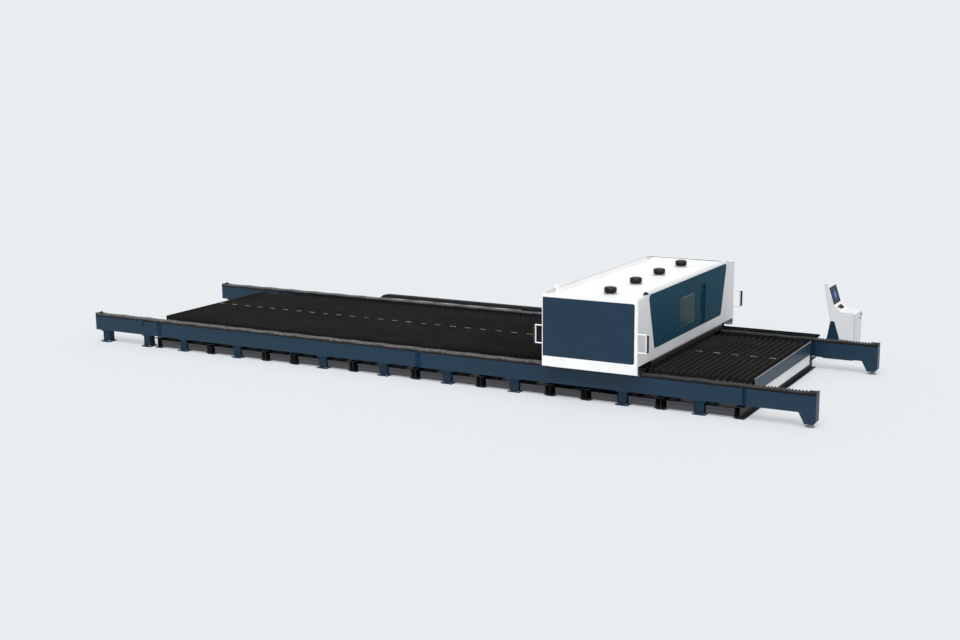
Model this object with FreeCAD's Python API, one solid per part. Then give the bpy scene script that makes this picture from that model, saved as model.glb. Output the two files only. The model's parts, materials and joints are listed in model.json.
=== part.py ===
import FreeCAD, Part
import math
import os

# Fiber laser cutting machine with a long fixed table, two ground rails and an
# enclosed gantry that travels over the table, plus a free-standing console.
#
# All sizes are millimetres. While it is modelled, X runs along the rails from
# their left end, Y runs away from the operator's side and is 0 on the outer
# face of the near rail, and Z is up from the floor. save() moves every piece
# so that the origin is on the floor under the middle of the machine.

# ---------------------------------------------------------------- driving sizes
# Ground rails
RAIL_LEFT_END = 1680.0          # extension beam left of the table
RAIL_SEGMENT = 6000.0           # one of the two long beams
RAIL_RIGHT_END = 1130.0         # extension beam right of the table
RAIL_GAUGE = 4000.0             # between the centre lines of the two rails
BEAM_WIDTH = 175.0
BEAM_BOTTOM = 236.0
BEAM_HEIGHT = 273.0
BEAM_WALL = 12.0
COLLAR_LENGTH = 44.0            # narrow bolting collar at each beam end
COLLAR_INSET = 30.0

# Legs under the rails
LEG_WIDTH = 150.0               # channel column, along X
LEG_INSET = 12.0                # its web, back from the beam's outer face
LEG_WALL = 12.0
LEG_BASE_WIDTH = 220.0
LEG_BASE_OUTREACH = 30.0        # base plate beyond the beam's outer face
LEG_BASE_INREACH = 10.0
LEG_PLATE = 20.0
LEG_TOP_WIDTH = 230.0
LEG_EXTENSION_PLACES = (250.0, 1335.0)
LEG_SLEEPERS = (1, 3, 6, 8, 10, 12, 15, 17)

# Foot that is part of the right-hand extension beam
FOOT_TOP_WIDTH = 275.0
FOOT_BOTTOM_WIDTH = 178.0
FOOT_BOTTOM = 55.0
FOOT_CHAMFER = 42.0
PAD_RADIUS = 72.0
PAD_HEIGHT = 18.0
PAD_STEM_RADIUS = 20.0

# Linear guides, racks and covers on the rails
GUIDE_WIDTH = 45.0
GUIDE_HEIGHT = 32.0
GUIDE_CENTRE = 45.0             # from the beam's outer face
RACK_WIDTH = 30.0
RACK_HEIGHT = 30.0
RACK_CENTRE = 100.0
BELLOWS_LAP = 6.0               # over each edge of the beam
BELLOWS_HEIGHT = 60.0
BELLOWS_WALL = 14.0
BELLOWS_PLEAT = 200.0           # one fold, peak to peak
BELLOWS_FOLD_DEPTH = 16.0
STOP_PLATE = 10.0
STOP_TAB_LENGTH = 120.0
NUB_RADIUS = 20.0
NUB_HEIGHT = 26.0
SENSOR_PLACE = 1234.0           # bracket on the near rail, from its left end
SENSOR_WIDTH = 56.0
SENSOR_DROP = 105.0             # its lower end, under the beam's top
SENSOR_RISE = 56.0
SENSOR_PLATE = 6.0

# Table
TABLE_LEFT_LAP = 170.0          # table beyond the first and the last rail joint
TABLE_RIGHT_LAP = 22.0
TABLE_NEAR = 420.0              # from the near rail's outer face
TABLE_WIDTH = 3260.0
TABLE_RISE = 66.0               # slat tips above the beams' top
SLAT_HEIGHT = 120.0
SLAT_THICKNESS = 5.0
SLAT_PITCH = 110.0
SLAT_TEETH = 3
SLAT_TOOTH_DEPTH = 28.0
HOLDER_WIDTH = 40.0
HOLDER_HEIGHT = 60.0
SIDE_BEAM_WIDTH = 80.0
SIDE_BEAM_FLANGE = 10.0
SLEEPER_WIDTH = 150.0
SLEEPER_HEIGHT = 200.0
SLEEPER_FLANGE = 12.0
SLEEPER_WEB = 10.0
SLEEPER_NEAR = 20.0             # near end of a sleeper that passes under the rail
DRAWER_BAYS = 18
END_PANEL = 8.0
END_PANEL_HEIGHT = 230.0        # upper panel
END_SKIRT_LAP = 45.0            # how far the set-back lower panel reaches down over the last sleeper
END_PANEL_LIP = 20.0

# Slag drawers
DRAWER_SIDE_GAP = 24.0          # between a drawer and the sleepers beside it
DRAWER_BOTTOM = 28.0
DRAWER_HEIGHT = 130.0
DRAWER_FRONT = 40.0             # front face, from the near rail's outer face
DRAWER_SHEET = 4.0
DRAWER_BACK_GAP = 20.0          # between its rear end and the table's far side
DRAWER_LIP_REACH = 16.0
DRAWER_LIP_DROP = 20.0
RUNNER_LAP = 10.0               # how far a runner reaches under the drawer's edge
RUNNER_THICKNESS = 13.0

# Moving housing
HOUSING_REST = 3462.0           # rear face at rest, from the table's right end
HOUSING_LENGTH = 1704.0
HOUSING_NEAR_OVERHANG = 212.0   # beyond the near rail's outer face
HOUSING_FAR_OVERHANG = 397.0    # beyond the far rail, over the energy chain
SKIRT_RISE = 68.0               # lower edge of the side walls above the beams' top
WALL_HEIGHT = 1219.0            # side walls
FACE_RISE = 136.0               # lower edge of the face above the side walls' lower edge
FACE_CROWN = 30.0               # face's top edge above the side walls
FACE_SLOPE = 330.0              # length over which the face's top edge rises at each end
ROOF_DEPTH = 56.0               # roof pan's floor below the side walls' top
ROOF_FLANGE = 40.0
ROLL_RADIUS = 48.0              # half-round edge trim along the face's top
SHEET = 6.0
WALL_FOLD = 40.0
PANEL_GAP = 0.3
SIDE_PANEL_BOTTOM_EDGE = 173.0  # navy panel, from the wall's four edges
SIDE_PANEL_TOP_EDGE = 51.0
SIDE_PANEL_REAR_EDGE = 14.0
SIDE_PANEL_FRONT_EDGE = 51.0
SIDE_PANEL_RADIUS = 36.0
FASCIA_TOP_EDGE = 4.0           # navy front, from the face's top and bottom edges
FASCIA_BOTTOM_EDGE = 172.0
FASCIA_TOP_HALF = 1930.0
FASCIA_BOTTOM_HALF = 1655.0
FASCIA_RADIUS = 70.0

# Sliding access door in the front fascia
DOOR_OPENING_OFFSET = 560.0     # near edge of the opening, from the middle line
DOOR_OPENING_WIDTH = 1360.0
DOOR_OPENING_SILL = 20.0        # above the fascia's lower edge
DOOR_OPENING_HEIGHT = 723.0
DOOR_OVERLAP = 25.0
DOOR_THICKNESS = 40.0
DOOR_GRIP_WIDTH = 235.0         # recessed strip that holds the grip
DOOR_GRIP_DEPTH = 30.0
WINDOW_FROM_EDGE = 145.0        # from the opening's near edge
WINDOW_WIDTH = 620.0
WINDOW_SILL = 125.0             # above the opening's lower edge
WINDOW_HEIGHT = 490.0
WINDOW_THICKNESS = 6.0

# Roof vents and bumper handles
VENT_COUNT = 4
VENT_PITCH = 1100.0
VENT_X = 880.0                  # from the rear face
VENT_BASE = 150.0
VENT_BASE_HEIGHT = 30.0
VENT_NECK_RADIUS = 60.0
VENT_NECK_HEIGHT = 14.0
VENT_CAP_RADIUS = 95.0
VENT_CAP_HEIGHT = 84.0
VENT_CAP_CHAMFER = 26.0
HANDLE_RISE = 222.0             # above the face's lower edge
HANDLE_HEIGHT = 330.0
HANDLE_REACH = 185.0
HANDLE_BAR = 36.0
HANDLE_EDGE = 26.0              # from the housing's side
GRIP_THICKNESS = 24.0
GRIP_STANDOFF = 44.0            # finger gap between the bracket and its grip
BRUSH_DROP = 113.0              # under the face's lower edge
BRUSH_THICKNESS = 12.0
BRUSH_EDGE = 624.0              # from the housing's side

# Gantry inside the housing
TRUCK_NEAR = 12.0               # from the rail's outer face
TRUCK_WIDTH = 300.0
TRUCK_RISE = 71.0               # above the beams' top
TRUCK_HEIGHT = 260.0
TRUCK_APRON_GAP = 6.0
TRUCK_WALL = 12.0
BLOCK_LENGTH = 180.0
BLOCK_CHEEK = 12.0              # guide block beside its guide
CROSS_BEAM_X = 660.0            # rear side of the cross beam from the rear face
CROSS_BEAM_WIDTH = 350.0
CROSS_BEAM_HEIGHT = 400.0
PINION_RADIUS = 28.0
PINION_WIDTH = 24.0
MOTOR_X = 310.0                 # drive axis from the rear face
MOTOR_SIZE = 130.0
Y_RAIL_WIDTH = 35.0
Y_RAIL_DEPTH = 30.0
Y_RAIL_START = 300.0
CARRIAGE_WIDTH = 360.0
CARRIAGE_PLATE = 25.0
HEAD_SIZE = 120.0
HEAD_LIFT = 125.0               # nozzle above the slats at rest

# Energy chain beside the far rail
CHAIN_WIDTH = 130.0
CHAIN_HEIGHT = 70.0
CHAIN_RADIUS = 100.0
CHAIN_LINK = 200.0
CHAIN_LOWER_RUN = 3105.0        # from the bend to the fixed end, at mid rail
CHAIN_TOW = 660.0               # moving end, from the housing's rear face
CHAIN_TRAY_SHEET = 5.0
CHAIN_SIDE_GAP = 7.0
CHAIN_PAD_PITCH = 1500.0   # spacing of the pads that hold the tray off the beam
CHAIN_PAD = 60.0
CHAIN_STANDOFF = 8.0            # the bellows hang over the beam's edge in this gap
CHAIN_TRAY_DROP = 159.0         # its floor, under the beams' top

# Console; its depths are from the line above the foot's rear edge
CONSOLE_FROM_END = 1244.0       # its foot's rear edge, back from the rails' right end
CONSOLE_GAP = 795.0             # between the far rail and the console
CONSOLE_WIDTH = 500.0
CONSOLE_DEPTH = 588.0
CONSOLE_TOP = 1425.0
CONSOLE_FACE_END = 1022.0       # lower end of the leaning face
CONSOLE_FACE_RUN = 131.0        # how far the face comes forward from top to bottom
CONSOLE_KEYPAD_RUN = 148.0      # sloping keypad between the face and the desk
CONSOLE_DESK = 903.0
COLUMN_TOP_FRONT = 55.0
COLUMN_TOP_DEPTH = 67.0
COLUMN_TOP_FALL = 22.0
DESK_CHAMFER = 22.0
CONSOLE_WALL = 20.0
CONSOLE_PLINTH = 20.0
CONSOLE_DOOR = 18.0
WEDGE_TOP = 722.0
WEDGE_TOP_REAR = 125.0
WEDGE_TOP_FRONT = 201.0
WEDGE_BEND = 318.0
WEDGE_BEND_HEIGHT = 373.0
WEDGE_FRONT = 340.0
SCREEN_DOWN = 88.0
SCREEN_MARGIN = 20.0
SCREEN_HEIGHT = 320.0
SCREEN_DEPTH = 12.0
BUTTON_RADIUS = 20.0
BUTTON_CAP = 14.0
BUTTON_LIFT = 6.0               # gap under the cap when it is not pressed
BUTTON_STEM = 9.0
BUTTON_ENGAGED = 8.0
BUTTON_FROM_NEAR = 80.0
BUTTON_DOWN = 72.0              # along the keypad slope
LEVER_REACH = 22.0
LEVER_LENGTH = 70.0
HINGE_RADIUS = 7.0
HINGE_LENGTH = 60.0
HINGE_FROM_END = 90.0

CLEARANCE = 0.3                 # between bodies that move past each other

# ---------------------------------------------------------------- worked-out places
RAIL_LENGTH = RAIL_LEFT_END + 2 * RAIL_SEGMENT + RAIL_RIGHT_END
FAR_OUTER = RAIL_GAUGE + BEAM_WIDTH
RAIL_MIDDLE = FAR_OUTER / 2
BEAM_TOP = BEAM_BOTTOM + BEAM_HEIGHT
TABLE_TOP = BEAM_TOP + TABLE_RISE
TABLE_LEFT = RAIL_LEFT_END - TABLE_LEFT_LAP
TABLE_RIGHT = RAIL_LEFT_END + 2 * RAIL_SEGMENT + TABLE_RIGHT_LAP
TABLE_FAR = TABLE_NEAR + TABLE_WIDTH
TABLE_MIDDLE = TABLE_NEAR + TABLE_WIDTH / 2
TABLE_INNER_LEFT = TABLE_LEFT + END_PANEL_LIP + END_PANEL
TABLE_INNER_RIGHT = TABLE_RIGHT - END_PANEL_LIP - END_PANEL
SLAT_BOTTOM = TABLE_TOP - SLAT_HEIGHT
BEARER_TOP = SLAT_BOTTOM - HOLDER_HEIGHT
END_PANEL_BOTTOM = TABLE_TOP - END_PANEL_HEIGHT
DRAWER_BACK = TABLE_FAR - DRAWER_BACK_GAP
HOUSING_LEFT = TABLE_RIGHT - HOUSING_REST
HOUSING_RIGHT = HOUSING_LEFT + HOUSING_LENGTH
HOUSING_NEAR = -HOUSING_NEAR_OVERHANG
HOUSING_FAR = FAR_OUTER + HOUSING_FAR_OVERHANG
HOUSING_MIDDLE = (HOUSING_NEAR + HOUSING_FAR) / 2
SKIRT_BOTTOM = BEAM_TOP + SKIRT_RISE
WALL_TOP = SKIRT_BOTTOM + WALL_HEIGHT
FACE_BOTTOM = SKIRT_BOTTOM + FACE_RISE
FACE_TOP = WALL_TOP + FACE_CROWN
ROOF_FLOOR = WALL_TOP - ROOF_DEPTH
FASCIA_BOTTOM = FACE_BOTTOM + FASCIA_BOTTOM_EDGE
FASCIA_TOP = FACE_TOP - FASCIA_TOP_EDGE
DOOR_OPENING_BOTTOM = FASCIA_BOTTOM + DOOR_OPENING_SILL
DOOR_OPENING_TOP = DOOR_OPENING_BOTTOM + DOOR_OPENING_HEIGHT
DOOR_OPENING_NEAR = HOUSING_MIDDLE - DOOR_OPENING_OFFSET
WINDOW_NEAR = DOOR_OPENING_NEAR + WINDOW_FROM_EDGE
WINDOW_BOTTOM = DOOR_OPENING_BOTTOM + WINDOW_SILL
HANDLE_BOTTOM = FACE_BOTTOM + HANDLE_RISE
BRUSH_BOTTOM = FACE_BOTTOM - BRUSH_DROP
TRUCK_FAR = TRUCK_NEAR + TRUCK_WIDTH
TRUCK_BOTTOM = BEAM_TOP + TRUCK_RISE
TRUCK_TOP = TRUCK_BOTTOM + TRUCK_HEIGHT
TRUCK_LEFT = HOUSING_LEFT + WALL_FOLD
TRUCK_RIGHT = HOUSING_RIGHT - WALL_FOLD
CROSS_BEAM_LEFT = HOUSING_LEFT + CROSS_BEAM_X
CROSS_BEAM_RIGHT = CROSS_BEAM_LEFT + CROSS_BEAM_WIDTH
CARRIAGE_BACK = CROSS_BEAM_RIGHT + Y_RAIL_DEPTH + 2 * CLEARANCE
CARRIAGE_FRONT = CARRIAGE_BACK + CARRIAGE_PLATE
HEAD_BOTTOM = TABLE_TOP + HEAD_LIFT
LOW_Y_RAIL = TRUCK_TOP + CROSS_BEAM_HEIGHT * 0.18
HIGH_Y_RAIL = TRUCK_TOP + CROSS_BEAM_HEIGHT * 0.82
PINION_Y = RACK_CENTRE + RACK_WIDTH / 2 + CLEARANCE + PINION_RADIUS
CHAIN_TRAY_NEAR = FAR_OUTER + CHAIN_STANDOFF
CHAIN_NEAR = CHAIN_TRAY_NEAR + CHAIN_TRAY_SHEET + CHAIN_SIDE_GAP
CHAIN_TRAY_FLOOR = BEAM_TOP - CHAIN_TRAY_DROP
CHAIN_FLOOR = CHAIN_TRAY_FLOOR + CHAIN_TRAY_SHEET
CHAIN_TOP = CHAIN_FLOOR + 2 * CHAIN_RADIUS + CHAIN_HEIGHT
CHAIN_FIXED = RAIL_LENGTH / 2
CHAIN_BEND = CHAIN_FIXED - CHAIN_LOWER_RUN
CHAIN_MOVING = HOUSING_LEFT + CHAIN_TOW
CONSOLE_X = RAIL_LENGTH - CONSOLE_FROM_END
CONSOLE_NEAR = FAR_OUTER + CONSOLE_GAP
CONSOLE_FAR = CONSOLE_NEAR + CONSOLE_WIDTH
FACE_EDGE = (COLUMN_TOP_FRONT, CONSOLE_TOP)
KEYPAD_EDGE = (COLUMN_TOP_FRONT + CONSOLE_FACE_RUN, CONSOLE_FACE_END)
DESK_EDGE = (KEYPAD_EDGE[0] + CONSOLE_KEYPAD_RUN, CONSOLE_DESK)
ORIGIN = FreeCAD.Vector(RAIL_LENGTH / 2, (HOUSING_NEAR + CONSOLE_FAR) / 2, 0)

X_AXIS = FreeCAD.Vector(1, 0, 0)
Y_AXIS = FreeCAD.Vector(0, 1, 0)
Z_AXIS = FreeCAD.Vector(0, 0, 1)


# ---------------------------------------------------------------- helpers
def save(node, solids):
    """Write one named piece, or a group of alike solids, in the machine's frame."""
    shape = solids[0].copy() if len(solids) == 1 else Part.makeCompound(solids)
    shape.translate(-ORIGIN)
    shape.exportStep(os.path.join("parts", node + ".step"))
    print(f"{node:24s} {len(solids):4d} solids")


def box(x0, x1, y0, y1, z0, z1):
    return Part.makeBox(x1 - x0, y1 - y0, z1 - z0, FreeCAD.Vector(x0, y0, z0))


def prism(points, along):
    """Extrude a closed outline of points by the vector along."""
    wire = Part.makePolygon([FreeCAD.Vector(*p) for p in points + points[:1]])
    return Part.Face(wire).extrude(along)


def cylinder(radius, x, y, z0, z1):
    return Part.makeCylinder(radius, z1 - z0, FreeCAD.Vector(x, y, z0))


def joined(solids):
    return solids[0].multiFuse(solids[1:]).removeSplitter()


def mirrored(shape, middle):
    """The same piece on the other side of an upright plane along the machine."""
    return shape.mirror(FreeCAD.Vector(0, middle, 0), Y_AXIS)


def far_side(shape):
    """The same piece at the far rail."""
    return mirrored(shape, RAIL_MIDDLE)


def housing_far_side(shape):
    """The same piece at the housing's far end."""
    return mirrored(shape, HOUSING_MIDDLE)


def rounded_outline(corners, radius):
    """Closed wire through the corners, each rounded by an arc of the radius."""
    points = [FreeCAD.Vector(*corner) for corner in corners]
    edges = []
    starts = []
    for index, corner in enumerate(points):
        before = (points[index - 1] - corner).normalize()
        after = (points[(index + 1) % len(points)] - corner).normalize()
        half = before.getAngle(after) / 2
        reach = radius / math.tan(half)
        middle = (before + after).normalize() * (radius / math.sin(half) - radius)
        starts.append((corner + before * reach, corner + middle, corner + after * reach))
    for index, (first, middle, last) in enumerate(starts):
        edges.append(Part.Arc(first, middle, last).toShape())
        edges.append(Part.LineSegment(last, starts[(index + 1) % len(starts)][0]).toShape())
    return Part.Wire(Part.__sortEdges__(edges))


def plate(wire, along):
    return Part.Face(wire).extrude(along)


# ---------------------------------------------------------------- ground rails
def beam(x0, x1):
    """Box beam, open at both ends, with a narrower collar that is bolted to the next."""
    body = box(x0 + COLLAR_LENGTH, x1 - COLLAR_LENGTH, 0, BEAM_WIDTH, BEAM_BOTTOM, BEAM_TOP)
    collar = box(x0, x1, COLLAR_INSET, BEAM_WIDTH - COLLAR_INSET, BEAM_BOTTOM, BEAM_TOP)
    wall = COLLAR_INSET + BEAM_WALL
    hollow = box(x0, x1, wall, BEAM_WIDTH - wall, BEAM_BOTTOM + BEAM_WALL, BEAM_TOP - BEAM_WALL)
    return body.fuse(collar).removeSplitter().cut(hollow)


def end_beam_left():
    """Left-hand extension, full width up to its outer end."""
    whole = beam(0, RAIL_LEFT_END)
    corners = box(0, COLLAR_LENGTH, 0, BEAM_WIDTH, BEAM_BOTTOM, BEAM_TOP)
    wall = COLLAR_INSET + BEAM_WALL
    hollow = box(0, COLLAR_LENGTH, wall, BEAM_WIDTH - wall, BEAM_BOTTOM + BEAM_WALL, BEAM_TOP - BEAM_WALL)
    return whole.fuse(corners.cut(hollow)).removeSplitter()


def end_beam_right():
    """Right-hand extension, whose cheeks run down into a tapered foot."""
    x0 = RAIL_LENGTH - RAIL_RIGHT_END
    outline = [
        (x0, 0, BEAM_TOP),
        (x0, 0, BEAM_BOTTOM),
        (RAIL_LENGTH - FOOT_TOP_WIDTH, 0, BEAM_BOTTOM),
        (RAIL_LENGTH - FOOT_BOTTOM_WIDTH, 0, FOOT_BOTTOM),
        (RAIL_LENGTH - FOOT_CHAMFER, 0, FOOT_BOTTOM),
        (RAIL_LENGTH, 0, FOOT_BOTTOM + FOOT_CHAMFER),
        (RAIL_LENGTH, 0, BEAM_TOP),
    ]
    wall = COLLAR_INSET + BEAM_WALL
    hollow = box(x0, RAIL_LENGTH - BEAM_WALL, wall, BEAM_WIDTH - wall,
                 BEAM_BOTTOM + BEAM_WALL, BEAM_TOP - BEAM_WALL)
    return prism(outline, Y_AXIS * BEAM_WIDTH).cut(hollow)


def sensor_bracket():
    """Small plate for the end-of-travel sensor, on a pad on the near beam's outer face."""
    x0 = SENSOR_PLACE - SENSOR_WIDTH / 2
    x1 = SENSOR_PLACE + SENSOR_WIDTH / 2
    low = BEAM_TOP - SENSOR_DROP
    stand = 2 * BELLOWS_LAP
    pad = box(x0, x1, -stand, 0, low, BEAM_TOP - SENSOR_PLATE)
    plate_y = -stand - SENSOR_PLATE
    return pad.fuse(box(x0, x1, plate_y, -stand, low, BEAM_TOP + SENSOR_RISE)).removeSplitter()


def near_rail():
    joint_1 = RAIL_LEFT_END
    joint_2 = joint_1 + RAIL_SEGMENT
    joint_3 = joint_2 + RAIL_SEGMENT
    return [end_beam_left(), beam(joint_1, joint_2), beam(joint_2, joint_3), end_beam_right()]


def sleeper_x(index):
    """Centre of the sleeper at a bay line, 0 to DRAWER_BAYS."""
    first = TABLE_INNER_LEFT + CLEARANCE + SLEEPER_WIDTH / 2
    last = TABLE_INNER_RIGHT - CLEARANCE - SLEEPER_WIDTH / 2
    return first + (last - first) * index / DRAWER_BAYS


def leg(x):
    """Welded leg: base plate, channel column that is open to the inside, and a top plate."""
    half = LEG_WIDTH / 2
    base = box(x - LEG_BASE_WIDTH / 2, x + LEG_BASE_WIDTH / 2, -LEG_BASE_OUTREACH,
               BEAM_WIDTH + LEG_BASE_INREACH, 0, LEG_PLATE)
    top = box(x - LEG_TOP_WIDTH / 2, x + LEG_TOP_WIDTH / 2, 0, BEAM_WIDTH,
              BEAM_BOTTOM - LEG_PLATE, BEAM_BOTTOM)
    column = box(x - half, x + half, LEG_INSET, BEAM_WIDTH - LEG_INSET, LEG_PLATE, BEAM_BOTTOM - LEG_PLATE)
    hollow = box(x - half + LEG_WALL, x + half - LEG_WALL, LEG_INSET + LEG_WALL, BEAM_WIDTH - LEG_INSET,
                 LEG_PLATE, BEAM_BOTTOM - LEG_PLATE)
    return joined([base, top, column.cut(hollow)])


def rail_legs():
    places = list(LEG_EXTENSION_PLACES) + [sleeper_x(index) for index in LEG_SLEEPERS]
    near = [leg(x) for x in places]
    return near + [far_side(one) for one in near]


def levelling_foot():
    """Threaded pad under the tapered foot of the right-hand extension."""
    x = RAIL_LENGTH - FOOT_CHAMFER / 2 - FOOT_BOTTOM_WIDTH / 2
    pad = cylinder(PAD_RADIUS, x, BEAM_WIDTH / 2, 0, PAD_HEIGHT)
    stem = cylinder(PAD_STEM_RADIUS, x, BEAM_WIDTH / 2, PAD_HEIGHT, FOOT_BOTTOM)
    return pad.fuse(stem).removeSplitter()


def guide_rail():
    return box(STOP_PLATE + 5, RAIL_LENGTH - STOP_PLATE - 5, GUIDE_CENTRE - GUIDE_WIDTH / 2,
               GUIDE_CENTRE + GUIDE_WIDTH / 2, BEAM_TOP, BEAM_TOP + GUIDE_HEIGHT)


def gear_rack():
    return box(STOP_PLATE + 5, RAIL_LENGTH - STOP_PLATE - 5, RACK_CENTRE - RACK_WIDTH / 2,
               RACK_CENTRE + RACK_WIDTH / 2, BEAM_TOP, BEAM_TOP + RACK_HEIGHT)


def bellows(x0, x1):
    """Pleated cover: zigzag top and open channel below for the guide and the rack."""
    lap = BELLOWS_LAP
    bottom = BEAM_TOP + CLEARANCE
    peak = BEAM_TOP + BELLOWS_HEIGHT
    pleats = max(2, round((x1 - x0) / BELLOWS_PLEAT))
    step = (x1 - x0) / pleats
    outline = [(x0, -lap, bottom)]
    for index in range(pleats):
        start = x0 + index * step
        outline.append((start, -lap, peak - BELLOWS_FOLD_DEPTH))
        outline.append((start + step / 2, -lap, peak))
    outline.append((x1, -lap, peak - BELLOWS_FOLD_DEPTH))
    outline.append((x1, -lap, bottom))
    body = prism(outline, Y_AXIS * (BEAM_WIDTH + 2 * lap))
    channel = box(x0, x1, BELLOWS_WALL - lap, BEAM_WIDTH + lap - BELLOWS_WALL,
                  bottom, peak - BELLOWS_FOLD_DEPTH - BELLOWS_WALL / 2)
    return body.cut(channel)


def rail_end_stop(x, inward, with_nub):
    """Upright plate and top tab that hold the fixed end of a bellows."""
    x_out = x + inward * STOP_PLATE
    x_tab = x_out + inward * STOP_TAB_LENGTH
    tab_bottom = BEAM_TOP + BELLOWS_HEIGHT + CLEARANCE
    tab_top = tab_bottom + SHEET
    upright = box(min(x, x_out), max(x, x_out), 0, BEAM_WIDTH, BEAM_TOP, tab_top)
    tab = box(min(x_out, x_tab), max(x_out, x_tab), BEAM_WIDTH / 3, BEAM_WIDTH * 2 / 3, tab_bottom, tab_top)
    pieces = [upright, tab]
    if with_nub:
        pieces.append(cylinder(NUB_RADIUS, x_tab - inward * 2 * NUB_RADIUS, BEAM_WIDTH / 2,
                               tab_top, tab_top + NUB_HEIGHT))
    return joined(pieces)


def make_rails():
    near = near_rail()
    save("near_rail", near + [sensor_bracket()])
    save("far_rail", [far_side(one) for one in near])
    save("rail_legs", rail_legs())
    save("levelling_feet", [levelling_foot(), far_side(levelling_foot())])
    save("linear_guides", [guide_rail(), far_side(guide_rail())])
    save("gear_racks", [gear_rack(), far_side(gear_rack())])
    left = bellows(STOP_PLATE + CLEARANCE, TRUCK_LEFT - CLEARANCE)
    right = bellows(TRUCK_RIGHT + CLEARANCE, RAIL_LENGTH - STOP_PLATE - CLEARANCE)
    save("left_bellows", [left, far_side(left)])
    save("right_bellows", [right, far_side(right)])
    stops = [rail_end_stop(0, 1, True), rail_end_stop(RAIL_LENGTH, -1, False)]
    save("rail_end_stops", stops + [far_side(one) for one in stops])


# ---------------------------------------------------------------- table
def drawer_half():
    """Half of a drawer's width, from the room between two sleepers."""
    return (sleeper_x(1) - sleeper_x(0) - SLEEPER_WIDTH) / 2 - DRAWER_SIDE_GAP


def sleeper(index):
    """H-section cross member that stands on the floor and carries the table."""
    x = sleeper_x(index)
    half = SLEEPER_WIDTH / 2
    web = SLEEPER_WEB / 2
    low = SLEEPER_FLANGE
    high = SLEEPER_HEIGHT - SLEEPER_FLANGE
    behind_leg = index in LEG_SLEEPERS
    y0 = BEAM_WIDTH + LEG_BASE_INREACH if behind_leg else SLEEPER_NEAR
    outline = [
        (x - half, y0, 0), (x + half, y0, 0), (x + half, y0, low), (x + web, y0, low),
        (x + web, y0, high), (x + half, y0, high), (x + half, y0, SLEEPER_HEIGHT),
        (x - half, y0, SLEEPER_HEIGHT), (x - half, y0, high), (x - web, y0, high),
        (x - web, y0, low), (x - half, y0, low),
    ]
    along = Y_AXIS * (FAR_OUTER - 2 * y0)
    pieces = [prism(outline, along)]
    if index > 0:
        pieces.append(prism(runner_outline(x, y0, -1), along))
    if index < DRAWER_BAYS:
        pieces.append(prism(runner_outline(x, y0, 1), along))
    return joined(pieces)


def runner_outline(x, y, side):
    """Angle on the sleeper's lower flange; its level leg reaches under the drawer's edge."""
    root = x + side * (SLEEPER_WIDTH / 2 - RUNNER_THICKNESS)
    edge = x + side * SLEEPER_WIDTH / 2
    tip = edge + side * (DRAWER_SIDE_GAP + RUNNER_LAP)
    top = DRAWER_BOTTOM - CLEARANCE
    under = top - RUNNER_THICKNESS
    return [(root, y, SLEEPER_FLANGE), (edge, y, SLEEPER_FLANGE), (edge, y, under),
            (tip, y, under), (tip, y, top), (root, y, top)]


def side_beam():
    """Channel along the table's side, on the sleepers, with its open side inwards."""
    x0 = TABLE_INNER_LEFT
    y0 = TABLE_NEAR
    y1 = TABLE_NEAR + SIDE_BEAM_WIDTH
    z1 = BEARER_TOP
    flange = SIDE_BEAM_FLANGE
    outline = [
        (x0, y0, SLEEPER_HEIGHT), (x0, y1, SLEEPER_HEIGHT), (x0, y1, SLEEPER_HEIGHT + flange),
        (x0, y0 + flange, SLEEPER_HEIGHT + flange), (x0, y0 + flange, z1 - flange),
        (x0, y1, z1 - flange), (x0, y1, z1), (x0, y0, z1),
    ]
    return prism(outline, X_AXIS * (TABLE_INNER_RIGHT - TABLE_INNER_LEFT))


def table_mirror(shape):
    """The same piece on the other side of the table's own middle line."""
    return mirrored(shape, TABLE_MIDDLE)


def centre_beam():
    """Middle bearer, a box tube between the sleepers and the middle slat holder."""
    half = HOLDER_WIDTH
    wall = SIDE_BEAM_FLANGE
    outer = box(TABLE_INNER_LEFT, TABLE_INNER_RIGHT, TABLE_MIDDLE - half, TABLE_MIDDLE + half,
                SLEEPER_HEIGHT, BEARER_TOP)
    hollow = box(TABLE_INNER_LEFT, TABLE_INNER_RIGHT, TABLE_MIDDLE - half + wall,
                 TABLE_MIDDLE + half - wall, SLEEPER_HEIGHT + wall, BEARER_TOP - wall)
    return outer.cut(hollow)


def slat_holders():
    """Flat bars on the bearers that the slats stand on."""
    half = HOLDER_WIDTH / 2
    inset = SIDE_BEAM_WIDTH / 2
    return [box(TABLE_INNER_LEFT, TABLE_INNER_RIGHT, y - half, y + half, BEARER_TOP, SLAT_BOTTOM)
            for y in (TABLE_NEAR + inset, TABLE_MIDDLE, TABLE_FAR - inset)]


def slat(x):
    """One toothed support slat that stands on edge across the table."""
    y0 = TABLE_NEAR
    pitch = TABLE_WIDTH / SLAT_TEETH
    outline = [(x, y0, SLAT_BOTTOM), (x, TABLE_FAR, SLAT_BOTTOM)]
    for index in range(SLAT_TEETH, 0, -1):
        outline.append((x, y0 + index * pitch, TABLE_TOP))
        outline.append((x, y0 + (index - 0.5) * pitch, TABLE_TOP - SLAT_TOOTH_DEPTH))
    outline.append((x, y0, TABLE_TOP))
    return prism(outline, X_AXIS * SLAT_THICKNESS)


def slats():
    room = TABLE_INNER_RIGHT - TABLE_INNER_LEFT - SLAT_THICKNESS
    count = int(room // SLAT_PITCH) + 1
    first = TABLE_INNER_LEFT + (room - (count - 1) * SLAT_PITCH) / 2
    return [slat(first + index * SLAT_PITCH) for index in range(count)]


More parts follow.
